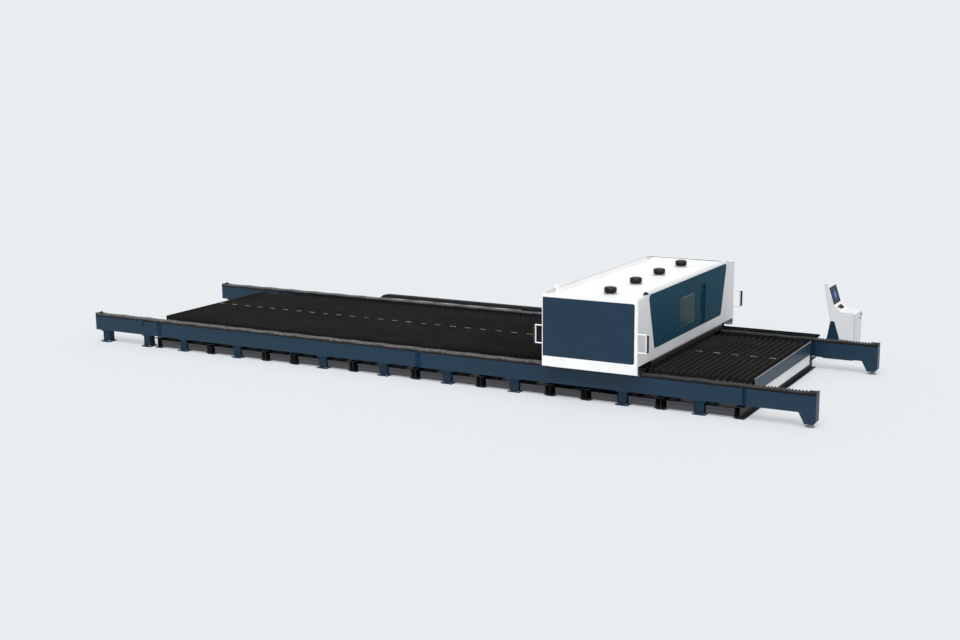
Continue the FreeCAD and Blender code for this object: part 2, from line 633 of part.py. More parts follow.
def end_panels():
    """At each end an upper panel with a turned-in foot, and a lower panel set back behind it."""
    set_back = TABLE_RIGHT - END_PANEL_LIP
    upper = joined([
        box(TABLE_RIGHT - END_PANEL, TABLE_RIGHT, TABLE_NEAR, TABLE_FAR, END_PANEL_BOTTOM, TABLE_TOP),
        box(set_back, TABLE_RIGHT, TABLE_NEAR, TABLE_FAR, END_PANEL_BOTTOM, END_PANEL_BOTTOM + END_PANEL),
    ])
    lower = box(TABLE_INNER_RIGHT, set_back, TABLE_NEAR, TABLE_FAR, SLEEPER_HEIGHT - END_SKIRT_LAP,
                END_PANEL_BOTTOM + END_PANEL)
    middle = FreeCAD.Vector((TABLE_LEFT + TABLE_RIGHT) / 2, 0, 0)
    return [upper, lower, upper.mirror(middle, X_AXIS), lower.mirror(middle, X_AXIS)]


def slag_drawer(bay):
    """Open sheet-metal tray that catches slag, with a folded lip along its front to pull."""
    x = (sleeper_x(bay) + sleeper_x(bay + 1)) / 2
    half = drawer_half()
    top = DRAWER_BOTTOM + DRAWER_HEIGHT
    tray = box(x - half, x + half, DRAWER_FRONT, DRAWER_BACK, DRAWER_BOTTOM, top)
    hollow = box(x - half + DRAWER_SHEET, x + half - DRAWER_SHEET, DRAWER_FRONT + DRAWER_SHEET,
                 DRAWER_BACK - DRAWER_SHEET, DRAWER_BOTTOM + DRAWER_SHEET, top)
    root = DRAWER_FRONT
    reach = root - DRAWER_LIP_REACH
    under = top - DRAWER_SHEET
    turn = reach + DRAWER_SHEET
    drop = top - DRAWER_LIP_DROP
    lip = prism([(x - half, y, z) for y, z in (
        (root, under), (turn, under), (turn, drop), (reach, drop), (reach, top), (root, top))],
        X_AXIS * 2 * half)
    return joined([tray.cut(hollow), lip])


def make_table():
    save("table_sleepers", [sleeper(index) for index in range(DRAWER_BAYS + 1)])
    save("table_bearers", [side_beam(), table_mirror(side_beam()), centre_beam()])
    save("slat_holders", slat_holders())
    save("slats", slats())
    save("table_end_panels", end_panels())
    for bay in range(DRAWER_BAYS):
        save(f"slag_drawer_{bay + 1:02d}", [slag_drawer(bay)])


# ---------------------------------------------------------------- moving housing
def face_outline(inset):
    """The face seen along X: level bottom edge, and a top edge that rises from both ends."""
    x = HOUSING_RIGHT - WALL_FOLD
    y0 = HOUSING_NEAR + WALL_FOLD + CLEARANCE
    y1 = HOUSING_FAR - WALL_FOLD - CLEARANCE
    end = WALL_TOP + FACE_CROWN * (y0 - HOUSING_NEAR) / FACE_SLOPE
    return [(x, y0 + inset, FACE_BOTTOM + inset), (x, y1 - inset, FACE_BOTTOM + inset),
            (x, y1 - inset, end - inset), (x, HOUSING_FAR - FACE_SLOPE, FACE_TOP - inset),
            (x, HOUSING_NEAR + FACE_SLOPE, FACE_TOP - inset), (x, y0 + inset, end - inset)]


def roof_pan():
    """Flat roof sheet with upright flanges, let in between the four walls."""
    x0 = HOUSING_LEFT + SHEET + CLEARANCE
    x1 = HOUSING_RIGHT - SHEET - CLEARANCE
    y0 = HOUSING_NEAR + WALL_FOLD + SHEET + 2 * CLEARANCE
    y1 = HOUSING_FAR - WALL_FOLD - SHEET - 2 * CLEARANCE
    rim = ROOF_FLOOR + ROOF_FLANGE
    outer = box(x0, x1, y0, y1, ROOF_FLOOR - SHEET, rim)
    return outer.cut(box(x0 + SHEET, x1 - SHEET, y0 + SHEET, y1 - SHEET, ROOF_FLOOR, rim))


def edge_roll():
    """Half-round hollow trim that lies along the top of the face, over the fascia."""
    x = HOUSING_RIGHT - ROLL_RADIUS
    y = HOUSING_MIDDLE - FASCIA_TOP_HALF
    start = FreeCAD.Vector(x, y, FACE_TOP)
    tube = Part.makeCylinder(ROLL_RADIUS, 2 * FASCIA_TOP_HALF, start, Y_AXIS)
    bore = Part.makeCylinder(ROLL_RADIUS - SHEET, 2 * FASCIA_TOP_HALF, start, Y_AXIS)
    y1 = y + 2 * FASCIA_TOP_HALF
    lower = box(x - ROLL_RADIUS, HOUSING_RIGHT, y, y1, FACE_TOP - ROLL_RADIUS, FACE_TOP)
    floor = box(x - ROLL_RADIUS, HOUSING_RIGHT, y, y1, FACE_TOP, FACE_TOP + SHEET)
    shell = tube.cut(bore).cut(lower)
    return shell.fuse(floor.common(tube)).removeSplitter()


def side_panel_outline(y, gap):
    """Navy side panel: square at the rear, rounded at the front."""
    x0 = HOUSING_LEFT + SIDE_PANEL_REAR_EDGE + gap
    x1 = HOUSING_RIGHT - SIDE_PANEL_FRONT_EDGE - gap
    z0 = SKIRT_BOTTOM + SIDE_PANEL_BOTTOM_EDGE + gap
    z1 = WALL_TOP - SIDE_PANEL_TOP_EDGE - gap
    radius = SIDE_PANEL_RADIUS - gap
    bend = radius * (1 - math.sqrt(0.5))

    def point(x, z):
        return FreeCAD.Vector(x, y, z)

    edges = [
        Part.LineSegment(point(x0, z0), point(x1 - radius, z0)).toShape(),
        Part.Arc(point(x1 - radius, z0), point(x1 - bend, z0 + bend), point(x1, z0 + radius)).toShape(),
        Part.LineSegment(point(x1, z0 + radius), point(x1, z1 - radius)).toShape(),
        Part.Arc(point(x1, z1 - radius), point(x1 - bend, z1 - bend), point(x1 - radius, z1)).toShape(),
        Part.LineSegment(point(x1 - radius, z1), point(x0, z1)).toShape(),
        Part.LineSegment(point(x0, z1), point(x0, z0)).toShape(),
    ]
    return Part.Wire(edges)


def side_frame():
    """White wall sheet folded inwards all round, with a cut-out for the side panel."""
    y0 = HOUSING_NEAR
    outer = box(HOUSING_LEFT, HOUSING_RIGHT, y0, y0 + WALL_FOLD, SKIRT_BOTTOM, WALL_TOP)
    inner = box(HOUSING_LEFT + SHEET, HOUSING_RIGHT - SHEET, y0 + SHEET, y0 + WALL_FOLD,
                SKIRT_BOTTOM + SHEET, WALL_TOP - SHEET)
    opening = plate(side_panel_outline(y0 - 1, 0), Y_AXIS * (SHEET + 2))
    return outer.cut(inner).cut(opening)


def side_panel():
    return plate(side_panel_outline(HOUSING_NEAR, PANEL_GAP), Y_AXIS * SHEET)


def fascia_outline(x, gap):
    """Navy front: a trapezium, wide side up, with rounded corners."""
    top = FASCIA_TOP_HALF - gap
    bottom = FASCIA_BOTTOM_HALF - gap
    middle = HOUSING_MIDDLE
    corners = [(x, middle - bottom, FASCIA_BOTTOM + gap), (x, middle + bottom, FASCIA_BOTTOM + gap),
               (x, middle + top, FASCIA_TOP - gap), (x, middle - top, FASCIA_TOP - gap)]
    return rounded_outline(corners, FASCIA_RADIUS)


def face_frame():
    """Light front wall between the two side frames, open where the fascia sits."""
    outer = prism(face_outline(0), X_AXIS * WALL_FOLD)
    inner = prism(face_outline(SHEET), X_AXIS * (WALL_FOLD - SHEET))
    opening = plate(fascia_outline(HOUSING_RIGHT - SHEET, 0), X_AXIS * (SHEET + 1))
    return outer.cut(inner).cut(opening)


def fascia(with_door):
    sheet = plate(fascia_outline(HOUSING_RIGHT - SHEET, PANEL_GAP), X_AXIS * SHEET)
    if not with_door:
        return sheet
    corners = [(HOUSING_RIGHT - SHEET - 1, y, z) for y, z in (
        (DOOR_OPENING_NEAR, DOOR_OPENING_BOTTOM),
        (DOOR_OPENING_NEAR + DOOR_OPENING_WIDTH, DOOR_OPENING_BOTTOM),
        (DOOR_OPENING_NEAR + DOOR_OPENING_WIDTH, DOOR_OPENING_TOP),
        (DOOR_OPENING_NEAR, DOOR_OPENING_TOP))]
    return sheet.cut(plate(rounded_outline(corners, DOOR_OVERLAP), X_AXIS * (SHEET + 2)))


def rear_side(shape):
    """The same piece on the rear face of the housing."""
    return shape.mirror(FreeCAD.Vector((HOUSING_LEFT + HOUSING_RIGHT) / 2, 0, 0), X_AXIS)


def window_box(gap):
    x1 = HOUSING_RIGHT - SHEET - CLEARANCE
    return box(x1 - WINDOW_THICKNESS, x1, WINDOW_NEAR + gap, WINDOW_NEAR + WINDOW_WIDTH - gap,
               WINDOW_BOTTOM + gap, WINDOW_BOTTOM + WINDOW_HEIGHT - gap)


def sliding_door():
    """Door leaf behind the fascia, with a window opening and a recessed grip strip."""
    x1 = HOUSING_RIGHT - SHEET - CLEARANCE
    x0 = x1 - DOOR_THICKNESS
    y0 = DOOR_OPENING_NEAR - DOOR_OVERLAP
    y1 = DOOR_OPENING_NEAR + DOOR_OPENING_WIDTH + DOOR_OVERLAP
    z0 = DOOR_OPENING_BOTTOM - DOOR_OVERLAP + SHEET
    z1 = DOOR_OPENING_TOP + DOOR_OVERLAP
    leaf = box(x0, x1, y0, y1, z0, z1)
    grip_y1 = DOOR_OPENING_NEAR + DOOR_OPENING_WIDTH - DOOR_OVERLAP / 5
    grip_y0 = grip_y1 - DOOR_GRIP_WIDTH
    recess = box(x1 - DOOR_GRIP_DEPTH, x1, grip_y0, grip_y1, z0 + SHEET, z1 - 2 * DOOR_OVERLAP)
    behind_window = box(x0, x1, WINDOW_NEAR + DOOR_OVERLAP, WINDOW_NEAR + WINDOW_WIDTH - DOOR_OVERLAP,
                        WINDOW_BOTTOM + DOOR_OVERLAP, WINDOW_BOTTOM + WINDOW_HEIGHT - DOOR_OVERLAP)
    middle = (grip_y0 + grip_y1) / 2
    floor = x1 - DOOR_GRIP_DEPTH
    grip = box(floor, x1 - SHEET, middle - HANDLE_BAR / 2, middle + HANDLE_BAR / 2,
               (z0 + z1) / 2 - HANDLE_HEIGHT / 2, (z0 + z1) / 2 + HANDLE_HEIGHT / 2)
    return leaf.cut(recess).cut(behind_window).cut(window_box(0)).fuse(grip).removeSplitter()


def roof_vent(y):
    """Square flashing with a round neck, and the drum-shaped rain cap above it."""
    x = HOUSING_LEFT + VENT_X
    half = VENT_BASE / 2
    z1 = ROOF_FLOOR + VENT_BASE_HEIGHT
    flashing = box(x - half, x + half, y - half, y + half, ROOF_FLOOR, z1)
    rim = z1 + VENT_NECK_HEIGHT
    top = z1 + VENT_CAP_HEIGHT
    shoulder = top - VENT_CAP_CHAMFER
    side = [(0, z1), (VENT_NECK_RADIUS, z1), (VENT_NECK_RADIUS, rim), (VENT_CAP_RADIUS, rim),
            (VENT_CAP_RADIUS, shoulder), (VENT_CAP_RADIUS - VENT_CAP_CHAMFER, top), (0, top)]
    wire = Part.makePolygon([FreeCAD.Vector(x + r, y, z) for r, z in side + side[:1]])
    return flashing, Part.Face(wire).revolve(FreeCAD.Vector(x, y, 0), Z_AXIS, 360)


def bumper_handle():
    """White bracket that stands out from the face, and the dark grip on its outer end."""
    x0 = HOUSING_RIGHT
    x1 = x0 + HANDLE_REACH - GRIP_THICKNESS - GRIP_STANDOFF
    y0 = HOUSING_NEAR + HANDLE_EDGE
    y1 = y0 + HANDLE_BAR
    z0 = HANDLE_BOTTOM
    z1 = HANDLE_BOTTOM + HANDLE_HEIGHT
    arm = HANDLE_BAR / 2
    bracket = box(x0, x1, y0, y1, z0, z1).cut(box(x0, x1 - HANDLE_BAR / 3, y0, y1, z0 + arm, z1 - arm))
    thick = GRIP_THICKNESS
    grip = box(x1, x0 + HANDLE_REACH, y0, y1, z0 + arm, z1 - arm)
    fingers = box(x1, x1 + GRIP_STANDOFF, y0, y1, z0 + arm + thick, z1 - arm - thick)
    return bracket, grip.cut(fingers)


def brush_curtain():
    """Bristle strip that hangs inside the face's lower edge, over the table."""
    x1 = HOUSING_RIGHT - SHEET - CLEARANCE
    return box(x1 - BRUSH_THICKNESS, x1, HOUSING_NEAR + BRUSH_EDGE, HOUSING_FAR - BRUSH_EDGE,
               BRUSH_BOTTOM, FACE_BOTTOM)


def make_housing():
    save("roof_shell", [roof_pan()])
    save("side_frames", [side_frame(), housing_far_side(side_frame())])
    save("side_panels", [side_panel(), housing_far_side(side_panel())])
    fronts = [face_frame(), edge_roll()]
    save("face_frames", fronts + [rear_side(one) for one in fronts])
    save("fascias", [fascia(True), rear_side(fascia(False))])
    save("sliding_door", [sliding_door()])
    save("door_window", [window_box(CLEARANCE)])
    first = HOUSING_MIDDLE - VENT_PITCH * (VENT_COUNT - 1) / 2
    vents = [roof_vent(first + index * VENT_PITCH) for index in range(VENT_COUNT)]
    save("roof_vents", [piece for vent in vents for piece in vent])
    handles = []
    for piece in bumper_handle():
        front = [piece, housing_far_side(piece)]
        handles += front + [rear_side(one) for one in front]
    save("bumper_handles", handles)
    save("brush_curtains", [brush_curtain(), rear_side(brush_curtain())])


# ---------------------------------------------------------------- gantry
def end_truck():
    """Carriage on the near rail: box tube with end aprons, and two guide blocks below it."""
    y0 = TRUCK_NEAR
    y1 = TRUCK_FAR
    wall = TRUCK_WALL
    tube = box(TRUCK_LEFT, TRUCK_RIGHT, y0, y1, TRUCK_BOTTOM, TRUCK_TOP)
    hollow = box(TRUCK_LEFT, TRUCK_RIGHT, y0 + wall, y1 - wall, TRUCK_BOTTOM + wall, TRUCK_TOP - wall)
    aprons = [box(x, x + wall, y0, BEAM_WIDTH, BEAM_TOP + TRUCK_APRON_GAP, TRUCK_BOTTOM)
              for x in (TRUCK_LEFT, TRUCK_RIGHT - wall)]
    guide_half = GUIDE_WIDTH / 2
    block_half = guide_half + BLOCK_CHEEK
    blocks = [box(x, x + BLOCK_LENGTH, GUIDE_CENTRE - block_half, GUIDE_CENTRE + block_half,
                  BEAM_TOP + GUIDE_HEIGHT / 3, TRUCK_BOTTOM)
              for x in (TRUCK_LEFT + 3 * wall, TRUCK_RIGHT - 3 * wall - BLOCK_LENGTH)]
    slot = box(TRUCK_LEFT - 1, TRUCK_RIGHT + 1, GUIDE_CENTRE - guide_half - CLEARANCE,
               GUIDE_CENTRE + guide_half + CLEARANCE, BEAM_TOP, BEAM_TOP + GUIDE_HEIGHT + CLEARANCE)
    rack_half = RACK_WIDTH / 2 + SHEET
    rack_slot = box(TRUCK_LEFT - 1, TRUCK_RIGHT + 1, RACK_CENTRE - rack_half, RACK_CENTRE + rack_half,
                    BEAM_TOP, BEAM_TOP + RACK_HEIGHT + SHEET)
    return joined([tube.cut(hollow)] + aprons + blocks).cut(slot).cut(rack_slot)


def chain_tow_arm():
    """Arm from the far truck over the far rail's edge to the chain's moving end."""
    z0 = CHAIN_TOP + CLEARANCE
    return box(CHAIN_MOVING - CHAIN_LINK, CHAIN_MOVING + CHAIN_LINK, FAR_OUTER - TRUCK_NEAR,
               CHAIN_NEAR + CHAIN_WIDTH, z0, z0 + 2 * TRUCK_WALL)


def cross_beam():
    """Box girder across the machine, on top of the two trucks."""
    y0 = TRUCK_NEAR
    y1 = FAR_OUTER - TRUCK_NEAR
    outer = box(CROSS_BEAM_LEFT, CROSS_BEAM_RIGHT, y0, y1, TRUCK_TOP, TRUCK_TOP + CROSS_BEAM_HEIGHT)
    wall = BEAM_WALL
    hollow = box(CROSS_BEAM_LEFT + wall, CROSS_BEAM_RIGHT - wall, y0, y1, TRUCK_TOP + wall,
                 TRUCK_TOP + CROSS_BEAM_HEIGHT - wall)
    return outer.cut(hollow)


def x_drive():
    """Servo motor and gearbox, upright on the truck above the pinion."""
    x = HOUSING_LEFT + MOTOR_X
    y = PINION_Y
    half = MOTOR_SIZE / 2
    gearbox = box(x - half, x + half, y - half, y + half, TRUCK_TOP, TRUCK_TOP + MOTOR_SIZE)
    motor = cylinder(half * 0.85, x, y, TRUCK_TOP + MOTOR_SIZE, TRUCK_TOP + 3 * MOTOR_SIZE)
    return joined([gearbox, motor])


def x_pinion():
    """Drive pinion beside the rack, with its shaft up to the truck's underside."""
    x = HOUSING_LEFT + MOTOR_X
    z0 = BEAM_TOP + (RACK_HEIGHT - PINION_WIDTH) / 2
    wheel = cylinder(PINION_RADIUS, x, PINION_Y, z0, z0 + PINION_WIDTH)
    shaft = cylinder(PINION_RADIUS / 3, x, PINION_Y, z0 + PINION_WIDTH, TRUCK_BOTTOM - CLEARANCE)
    return joined([wheel, shaft])


def y_guides_and_rack():
    """Two guide rails on the girder's front face, and the rack between them."""
    x0 = CROSS_BEAM_RIGHT
    y0 = Y_RAIL_START
    y1 = FAR_OUTER - Y_RAIL_START
    bars = [box(x0, x0 + Y_RAIL_DEPTH, y0, y1, z - Y_RAIL_WIDTH / 2, z + Y_RAIL_WIDTH / 2)
            for z in (LOW_Y_RAIL, HIGH_Y_RAIL)]
    middle = (LOW_Y_RAIL + HIGH_Y_RAIL) / 2
    rack = box(x0, x0 + Y_RAIL_DEPTH * 0.8, y0, y1, middle - RACK_WIDTH / 2, middle + RACK_WIDTH / 2)
    return bars + [rack]


def y_carriage():
    """Plate on guide blocks that carries the head across the machine."""
    y0 = TABLE_MIDDLE - CARRIAGE_WIDTH / 2
    y1 = TABLE_MIDDLE + CARRIAGE_WIDTH / 2
    block = CARRIAGE_WIDTH / 3
    reach = CARRIAGE_BACK - Y_RAIL_DEPTH * 0.6
    pieces = [box(CARRIAGE_BACK, CARRIAGE_FRONT, y0, y1, LOW_Y_RAIL - 2 * Y_RAIL_WIDTH,
                  HIGH_Y_RAIL + 2 * Y_RAIL_WIDTH)]
    near = Y_RAIL_WIDTH / 2 + CLEARANCE
    for rail in (LOW_Y_RAIL, HIGH_Y_RAIL):
        for start in (y0, y1 - block):
            for z0 in (rail + near, rail - near - Y_RAIL_WIDTH / 2):
                pieces.append(box(reach, CARRIAGE_BACK, start, start + block, z0, z0 + Y_RAIL_WIDTH / 2))
    return joined(pieces)


def z_slide():
    """Upright slide plate in front of the carriage, with a shelf for the head on top."""
    x0 = CARRIAGE_FRONT + CLEARANCE
    x1 = x0 + CARRIAGE_PLATE
    half = HEAD_SIZE * 0.75
    shelf = HIGH_Y_RAIL + 3 * Y_RAIL_WIDTH
    back = box(x0, x1, TABLE_MIDDLE - half, TABLE_MIDDLE + half, LOW_Y_RAIL - Y_RAIL_WIDTH,
               HIGH_Y_RAIL + 5 * Y_RAIL_WIDTH)
    foot = box(x1, x1 + HEAD_SIZE, TABLE_MIDDLE - half, TABLE_MIDDLE + half, shelf, shelf + CARRIAGE_PLATE)
    return joined([back, foot])


def cutting_head():
    """Collimator, square head body, sensor barrel and nozzle cone in one line."""
    half = HEAD_SIZE / 2
    x = CARRIAGE_FRONT + CLEARANCE + CARRIAGE_PLATE + half
    y = TABLE_MIDDLE
    barrel_bottom = HEAD_BOTTOM + HEAD_SIZE / 3
    body_bottom = barrel_bottom + half
    body_top = HIGH_Y_RAIL + Y_RAIL_WIDTH
    body = box(x - half, x + half, y - half, y + half, body_bottom, body_top)
    barrel = cylinder(half * 0.7, x, y, barrel_bottom, body_bottom)
    tip = FreeCAD.Vector(x, y, HEAD_BOTTOM)
    cone = Part.makeCone(half * 0.15, half * 0.5, barrel_bottom - HEAD_BOTTOM, tip)
    collimator = cylinder(half * 0.6, x, y, body_top, HIGH_Y_RAIL + 3 * Y_RAIL_WIDTH)
    return joined([body, barrel, cone, collimator])


def make_gantry():
    far_truck = joined([far_side(end_truck()), chain_tow_arm()])
    save("end_trucks", [end_truck(), far_truck])
    save("cross_beam", [cross_beam()])
    save("x_drive_motors", [x_drive(), far_side(x_drive())])
    save("near_pinion", [x_pinion()])
    save("far_pinion", [far_side(x_pinion())])
    save("y_guides_and_rack", y_guides_and_rack())
    save("y_carriage", [y_carriage()])
    save("z_slide", [z_slide()])
    save("cutting_head", [cutting_head()])


# ---------------------------------------------------------------- energy chain
def chain_run(x0, x1, z0):
    """Straight run of links: a bar with a notch between each two links."""
    links = max(2, round((x1 - x0) / CHAIN_LINK))
    step = (x1 - x0) / links
    notch = CHAIN_HEIGHT / 8
    z1 = z0 + CHAIN_HEIGHT
    profile = [(x0, z0), (x1, z0), (x1, z1)]
    for index in range(links - 1, 0, -1):
        x = x0 + index * step
        profile += [(x + notch, z1), (x, z1 - 2 * notch), (x - notch, z1)]
    profile.append((x0, z1))
    return prism([(x, CHAIN_NEAR, z) for x, z in profile], Y_AXIS * CHAIN_WIDTH)


def chain_bend():
    """Half turn of links that joins the two runs."""
    z = CHAIN_FLOOR + CHAIN_HEIGHT / 2 + CHAIN_RADIUS
    outer = CHAIN_RADIUS + CHAIN_HEIGHT / 2
    inner = CHAIN_RADIUS - CHAIN_HEIGHT / 2
    centre = FreeCAD.Vector(CHAIN_BEND, CHAIN_NEAR, z)
    ring = Part.makeCylinder(outer, CHAIN_WIDTH, centre, Y_AXIS)
    hole = Part.makeCylinder(inner, CHAIN_WIDTH, centre, Y_AXIS)
    half = box(CHAIN_BEND, CHAIN_BEND + outer, CHAIN_NEAR, CHAIN_NEAR + CHAIN_WIDTH, z - outer, z + outer)
    return ring.cut(hole).cut(half)


def trough(x0, x1, floor, wall, skirt):
    """Open sheet trough beside the far beam; its near wall hangs down by the skirt to the pads."""
    sheet = CHAIN_TRAY_SHEET
    y0 = CHAIN_TRAY_NEAR
    y1 = CHAIN_NEAR + CHAIN_WIDTH + CHAIN_SIDE_GAP + sheet
    outer = box(x0, x1, y0, y1, floor, floor + wall)
    hollow = box(x0, x1, y0 + sheet, y1 - sheet, floor + sheet, floor + wall)
    pad_top = floor - skirt + CHAIN_PAD
    pieces = [outer.cut(hollow), box(x0, x1, y0, y0 + sheet, floor - skirt, floor + wall)]
    count = max(2, round((x1 - x0) / CHAIN_PAD_PITCH))
    step = (x1 - x0) / count
    for index in range(count):
        middle = x0 + (index + 0.5) * step
        pieces.append(box(middle - CHAIN_PAD / 2, middle + CHAIN_PAD / 2, FAR_OUTER, y0,
                          pad_top - CHAIN_PAD, pad_top))
    return joined(pieces)


def chain_tray():
    """Trough that is low for the lower run, then steps up to carry the upper run."""
    step = CHAIN_FIXED + CHAIN_LINK
    raised = CHAIN_TOP - CHAIN_HEIGHT - CHAIN_TRAY_SHEET
    low = trough(STOP_PLATE, step, CHAIN_TRAY_FLOOR, CHAIN_HEIGHT, 0)
    high = trough(step, RAIL_LENGTH - RAIL_RIGHT_END, raised, CHAIN_HEIGHT / 2,
                  raised - CHAIN_TRAY_FLOOR - CHAIN_HEIGHT)
    riser = box(step, step + CHAIN_TRAY_SHEET, CHAIN_TRAY_NEAR, high.BoundBox.YMax, CHAIN_TRAY_FLOOR, raised)
    return joined([low, high, riser])


def make_chain():
    save("chain_tray", [chain_tray()])
    save("chain_lower_run", [chain_run(CHAIN_BEND, CHAIN_FIXED, CHAIN_FLOOR)])
    save("chain_upper_run", [chain_run(CHAIN_BEND, CHAIN_MOVING, CHAIN_FLOOR + 2 * CHAIN_RADIUS)])
    save("chain_bend", [chain_bend()])


# ---------------------------------------------------------------- console
def console_point(x, z, y=CONSOLE_NEAR):
    """A point of the console's side view, measured from the line above its foot's rear edge."""
    return (CONSOLE_X + x, y, z)


def slope_point(upper, lower, along, depth, y):
    """A point on a sloping face, down from its upper edge and in behind its surface."""
    slope = math.atan2(lower[0] - upper[0], upper[1] - lower[1])
    x = upper[0] + along * math.sin(slope) - depth * math.cos(slope)
    z = upper[1] - along * math.cos(slope) - depth * math.sin(slope)
    return FreeCAD.Vector(CONSOLE_X + x, y, z)


def screen_point(along, depth, y):
    return slope_point(FACE_EDGE, KEYPAD_EDGE, along, depth, y)


def keypad_point(along, depth, y):
    return slope_point(KEYPAD_EDGE, DESK_EDGE, along, depth, y)


def keypad_normal():
    return (keypad_point(0, 0, 0) - keypad_point(0, 1, 0)).normalize()


def hollow_block(outline, width, wall):
    """Sheet-metal body of the given side view, and the space inside its walls."""
    points = [FreeCAD.Vector(*point) for point in outline + outline[:1]]
    side = Part.Face(Part.makePolygon(points))
    inner = side.makeOffset2D(-wall, 1)
    inner.translate(Y_AXIS * wall)
    return side.extrude(Y_AXIS * width), inner.extrude(Y_AXIS * (width - 2 * wall))


def console_cabinet():
    """One sheet-metal outline: cabinet, desk, keypad slope and the screen column that leans back."""
    front = CONSOLE_DEPTH - CONSOLE_DOOR - CLEARANCE
    outline = [console_point(x, z) for x, z in (
        (WEDGE_FRONT + CLEARANCE, CONSOLE_PLINTH), (front, CONSOLE_PLINTH),
        (front, CONSOLE_DESK - DESK_CHAMFER), (front - DESK_CHAMFER, CONSOLE_DESK),
        DESK_EDGE, KEYPAD_EDGE, FACE_EDGE,
        (COLUMN_TOP_FRONT - COLUMN_TOP_DEPTH, CONSOLE_TOP - COLUMN_TOP_FALL),
        (WEDGE_TOP_REAR, WEDGE_TOP + CLEARANCE), (WEDGE_TOP_FRONT + CLEARANCE, WEDGE_TOP + CLEARANCE),
        (WEDGE_BEND + CLEARANCE, WEDGE_BEND_HEIGHT))]
    wall = CONSOLE_WALL
    body, cavity = hollow_block(outline, CONSOLE_WIDTH, wall)
    doorway = box(CONSOLE_X + front - 2 * wall, CONSOLE_X + front, CONSOLE_NEAR + wall, CONSOLE_FAR - wall,
                  CONSOLE_PLINTH + wall, CONSOLE_DESK - DESK_CHAMFER - wall)
    near_corner = screen_point(SCREEN_DOWN, 0, CONSOLE_NEAR + SCREEN_MARGIN)
    pocket = slab(near_corner, SCREEN_HEIGHT, CONSOLE_WIDTH - 2 * SCREEN_MARGIN, SCREEN_DEPTH)
    bore = Part.makeCylinder(BUTTON_STEM + CLEARANCE, wall + 2, button_place(1), -keypad_normal())
    return body.cut(cavity).cut(doorway).cut(pocket).cut(bore)


def slab(corner, height, width, depth):
    """Flat block let into the leaning face, from its near top corner."""
    down = screen_point(height, 0, 0) - screen_point(0, 0, 0)
    inward = screen_point(0, depth, 0) - screen_point(0, 0, 0)
    points = [corner, corner + down, corner + down + inward, corner + inward]
    return prism([tuple(point) for point in points], Y_AXIS * width)


def console_screen():
    """Touch screen that fills the pocket in the leaning face."""
    margin = SCREEN_MARGIN + CLEARANCE
    corner = screen_point(SCREEN_DOWN + CLEARANCE, 0, CONSOLE_NEAR + margin)
    return slab(corner, SCREEN_HEIGHT - 2 * CLEARANCE, CONSOLE_WIDTH - 2 * margin, SCREEN_DEPTH)


def button_place(above):
    """Centre of the stop button's bore on the keypad slope, or a point above it."""
    return keypad_point(BUTTON_DOWN, -above, CONSOLE_NEAR + BUTTON_FROM_NEAR)


def e_stop_button():
    """Mushroom button on a stem that slides in the bore."""
    normal = keypad_normal()
    stem = Part.makeCylinder(BUTTON_STEM, BUTTON_LIFT + BUTTON_ENGAGED, button_place(-BUTTON_ENGAGED), normal)
    cap = Part.makeCylinder(BUTTON_RADIUS, BUTTON_CAP, button_place(BUTTON_LIFT), normal)
    return joined([stem, cap])


def console_pedestal():
    """Hollow wedge foot behind the cabinet, on a flat plinth that runs forward under it."""
    inset = CONSOLE_WALL
    width = CONSOLE_WIDTH - 2 * inset
    wedge = [console_point(x, z, CONSOLE_NEAR + inset) for x, z in (
        (0, 0), (WEDGE_FRONT, 0), (WEDGE_FRONT, CONSOLE_PLINTH), (WEDGE_BEND, WEDGE_BEND_HEIGHT),
        (WEDGE_TOP_FRONT, WEDGE_TOP), (WEDGE_TOP_REAR, WEDGE_TOP))]
    body, cavity = hollow_block(wedge, width, inset)
    plinth = box(CONSOLE_X + WEDGE_FRONT, CONSOLE_X + CONSOLE_DEPTH - DESK_CHAMFER, CONSOLE_NEAR + inset,
                 CONSOLE_FAR - inset, 0, CONSOLE_PLINTH)
    return body.cut(cavity).fuse(plinth).removeSplitter()


def console_door():
    """Cabinet door with a lock handle; it hinges on two barrels along its near front edge."""
    x1 = CONSOLE_X + CONSOLE_DEPTH
    x0 = x1 - CONSOLE_DOOR
    y0 = CONSOLE_NEAR + CLEARANCE
    y1 = CONSOLE_FAR - CLEARANCE
    z0 = CONSOLE_PLINTH + CONSOLE_WALL / 2
    z1 = CONSOLE_DESK - DESK_CHAMFER
    panel = box(x0, x1, y0, y1, z0, z1)
    lock_y = y1 - 2 * CONSOLE_WALL
    lever = box(x1, x1 + LEVER_REACH, lock_y - LEVER_LENGTH, lock_y,
                z1 - 3 * LEVER_REACH, z1 - 2 * LEVER_REACH)
    key = Part.makeCylinder(LEVER_REACH / 2, LEVER_REACH / 2,
                            FreeCAD.Vector(x1, lock_y - LEVER_REACH / 2, z1 - 5 * LEVER_REACH), X_AXIS)
    barrels = [cylinder(HINGE_RADIUS, x1, y0, z, z + HINGE_LENGTH)
               for z in (z0 + HINGE_FROM_END, z1 - HINGE_FROM_END - HINGE_LENGTH)]
    return joined([panel, lever, key] + barrels)


def make_console():
    save("console_cabinet", [console_cabinet()])
    save("console_pedestal", [console_pedestal()])
    save("console_door", [console_door()])
    save("console_screen", [console_screen()])
    save("e_stop_button", [e_stop_button()])


os.makedirs("parts", exist_ok=True)
make_rails()
make_table()
make_housing()
make_gantry()
make_chain()
make_console()
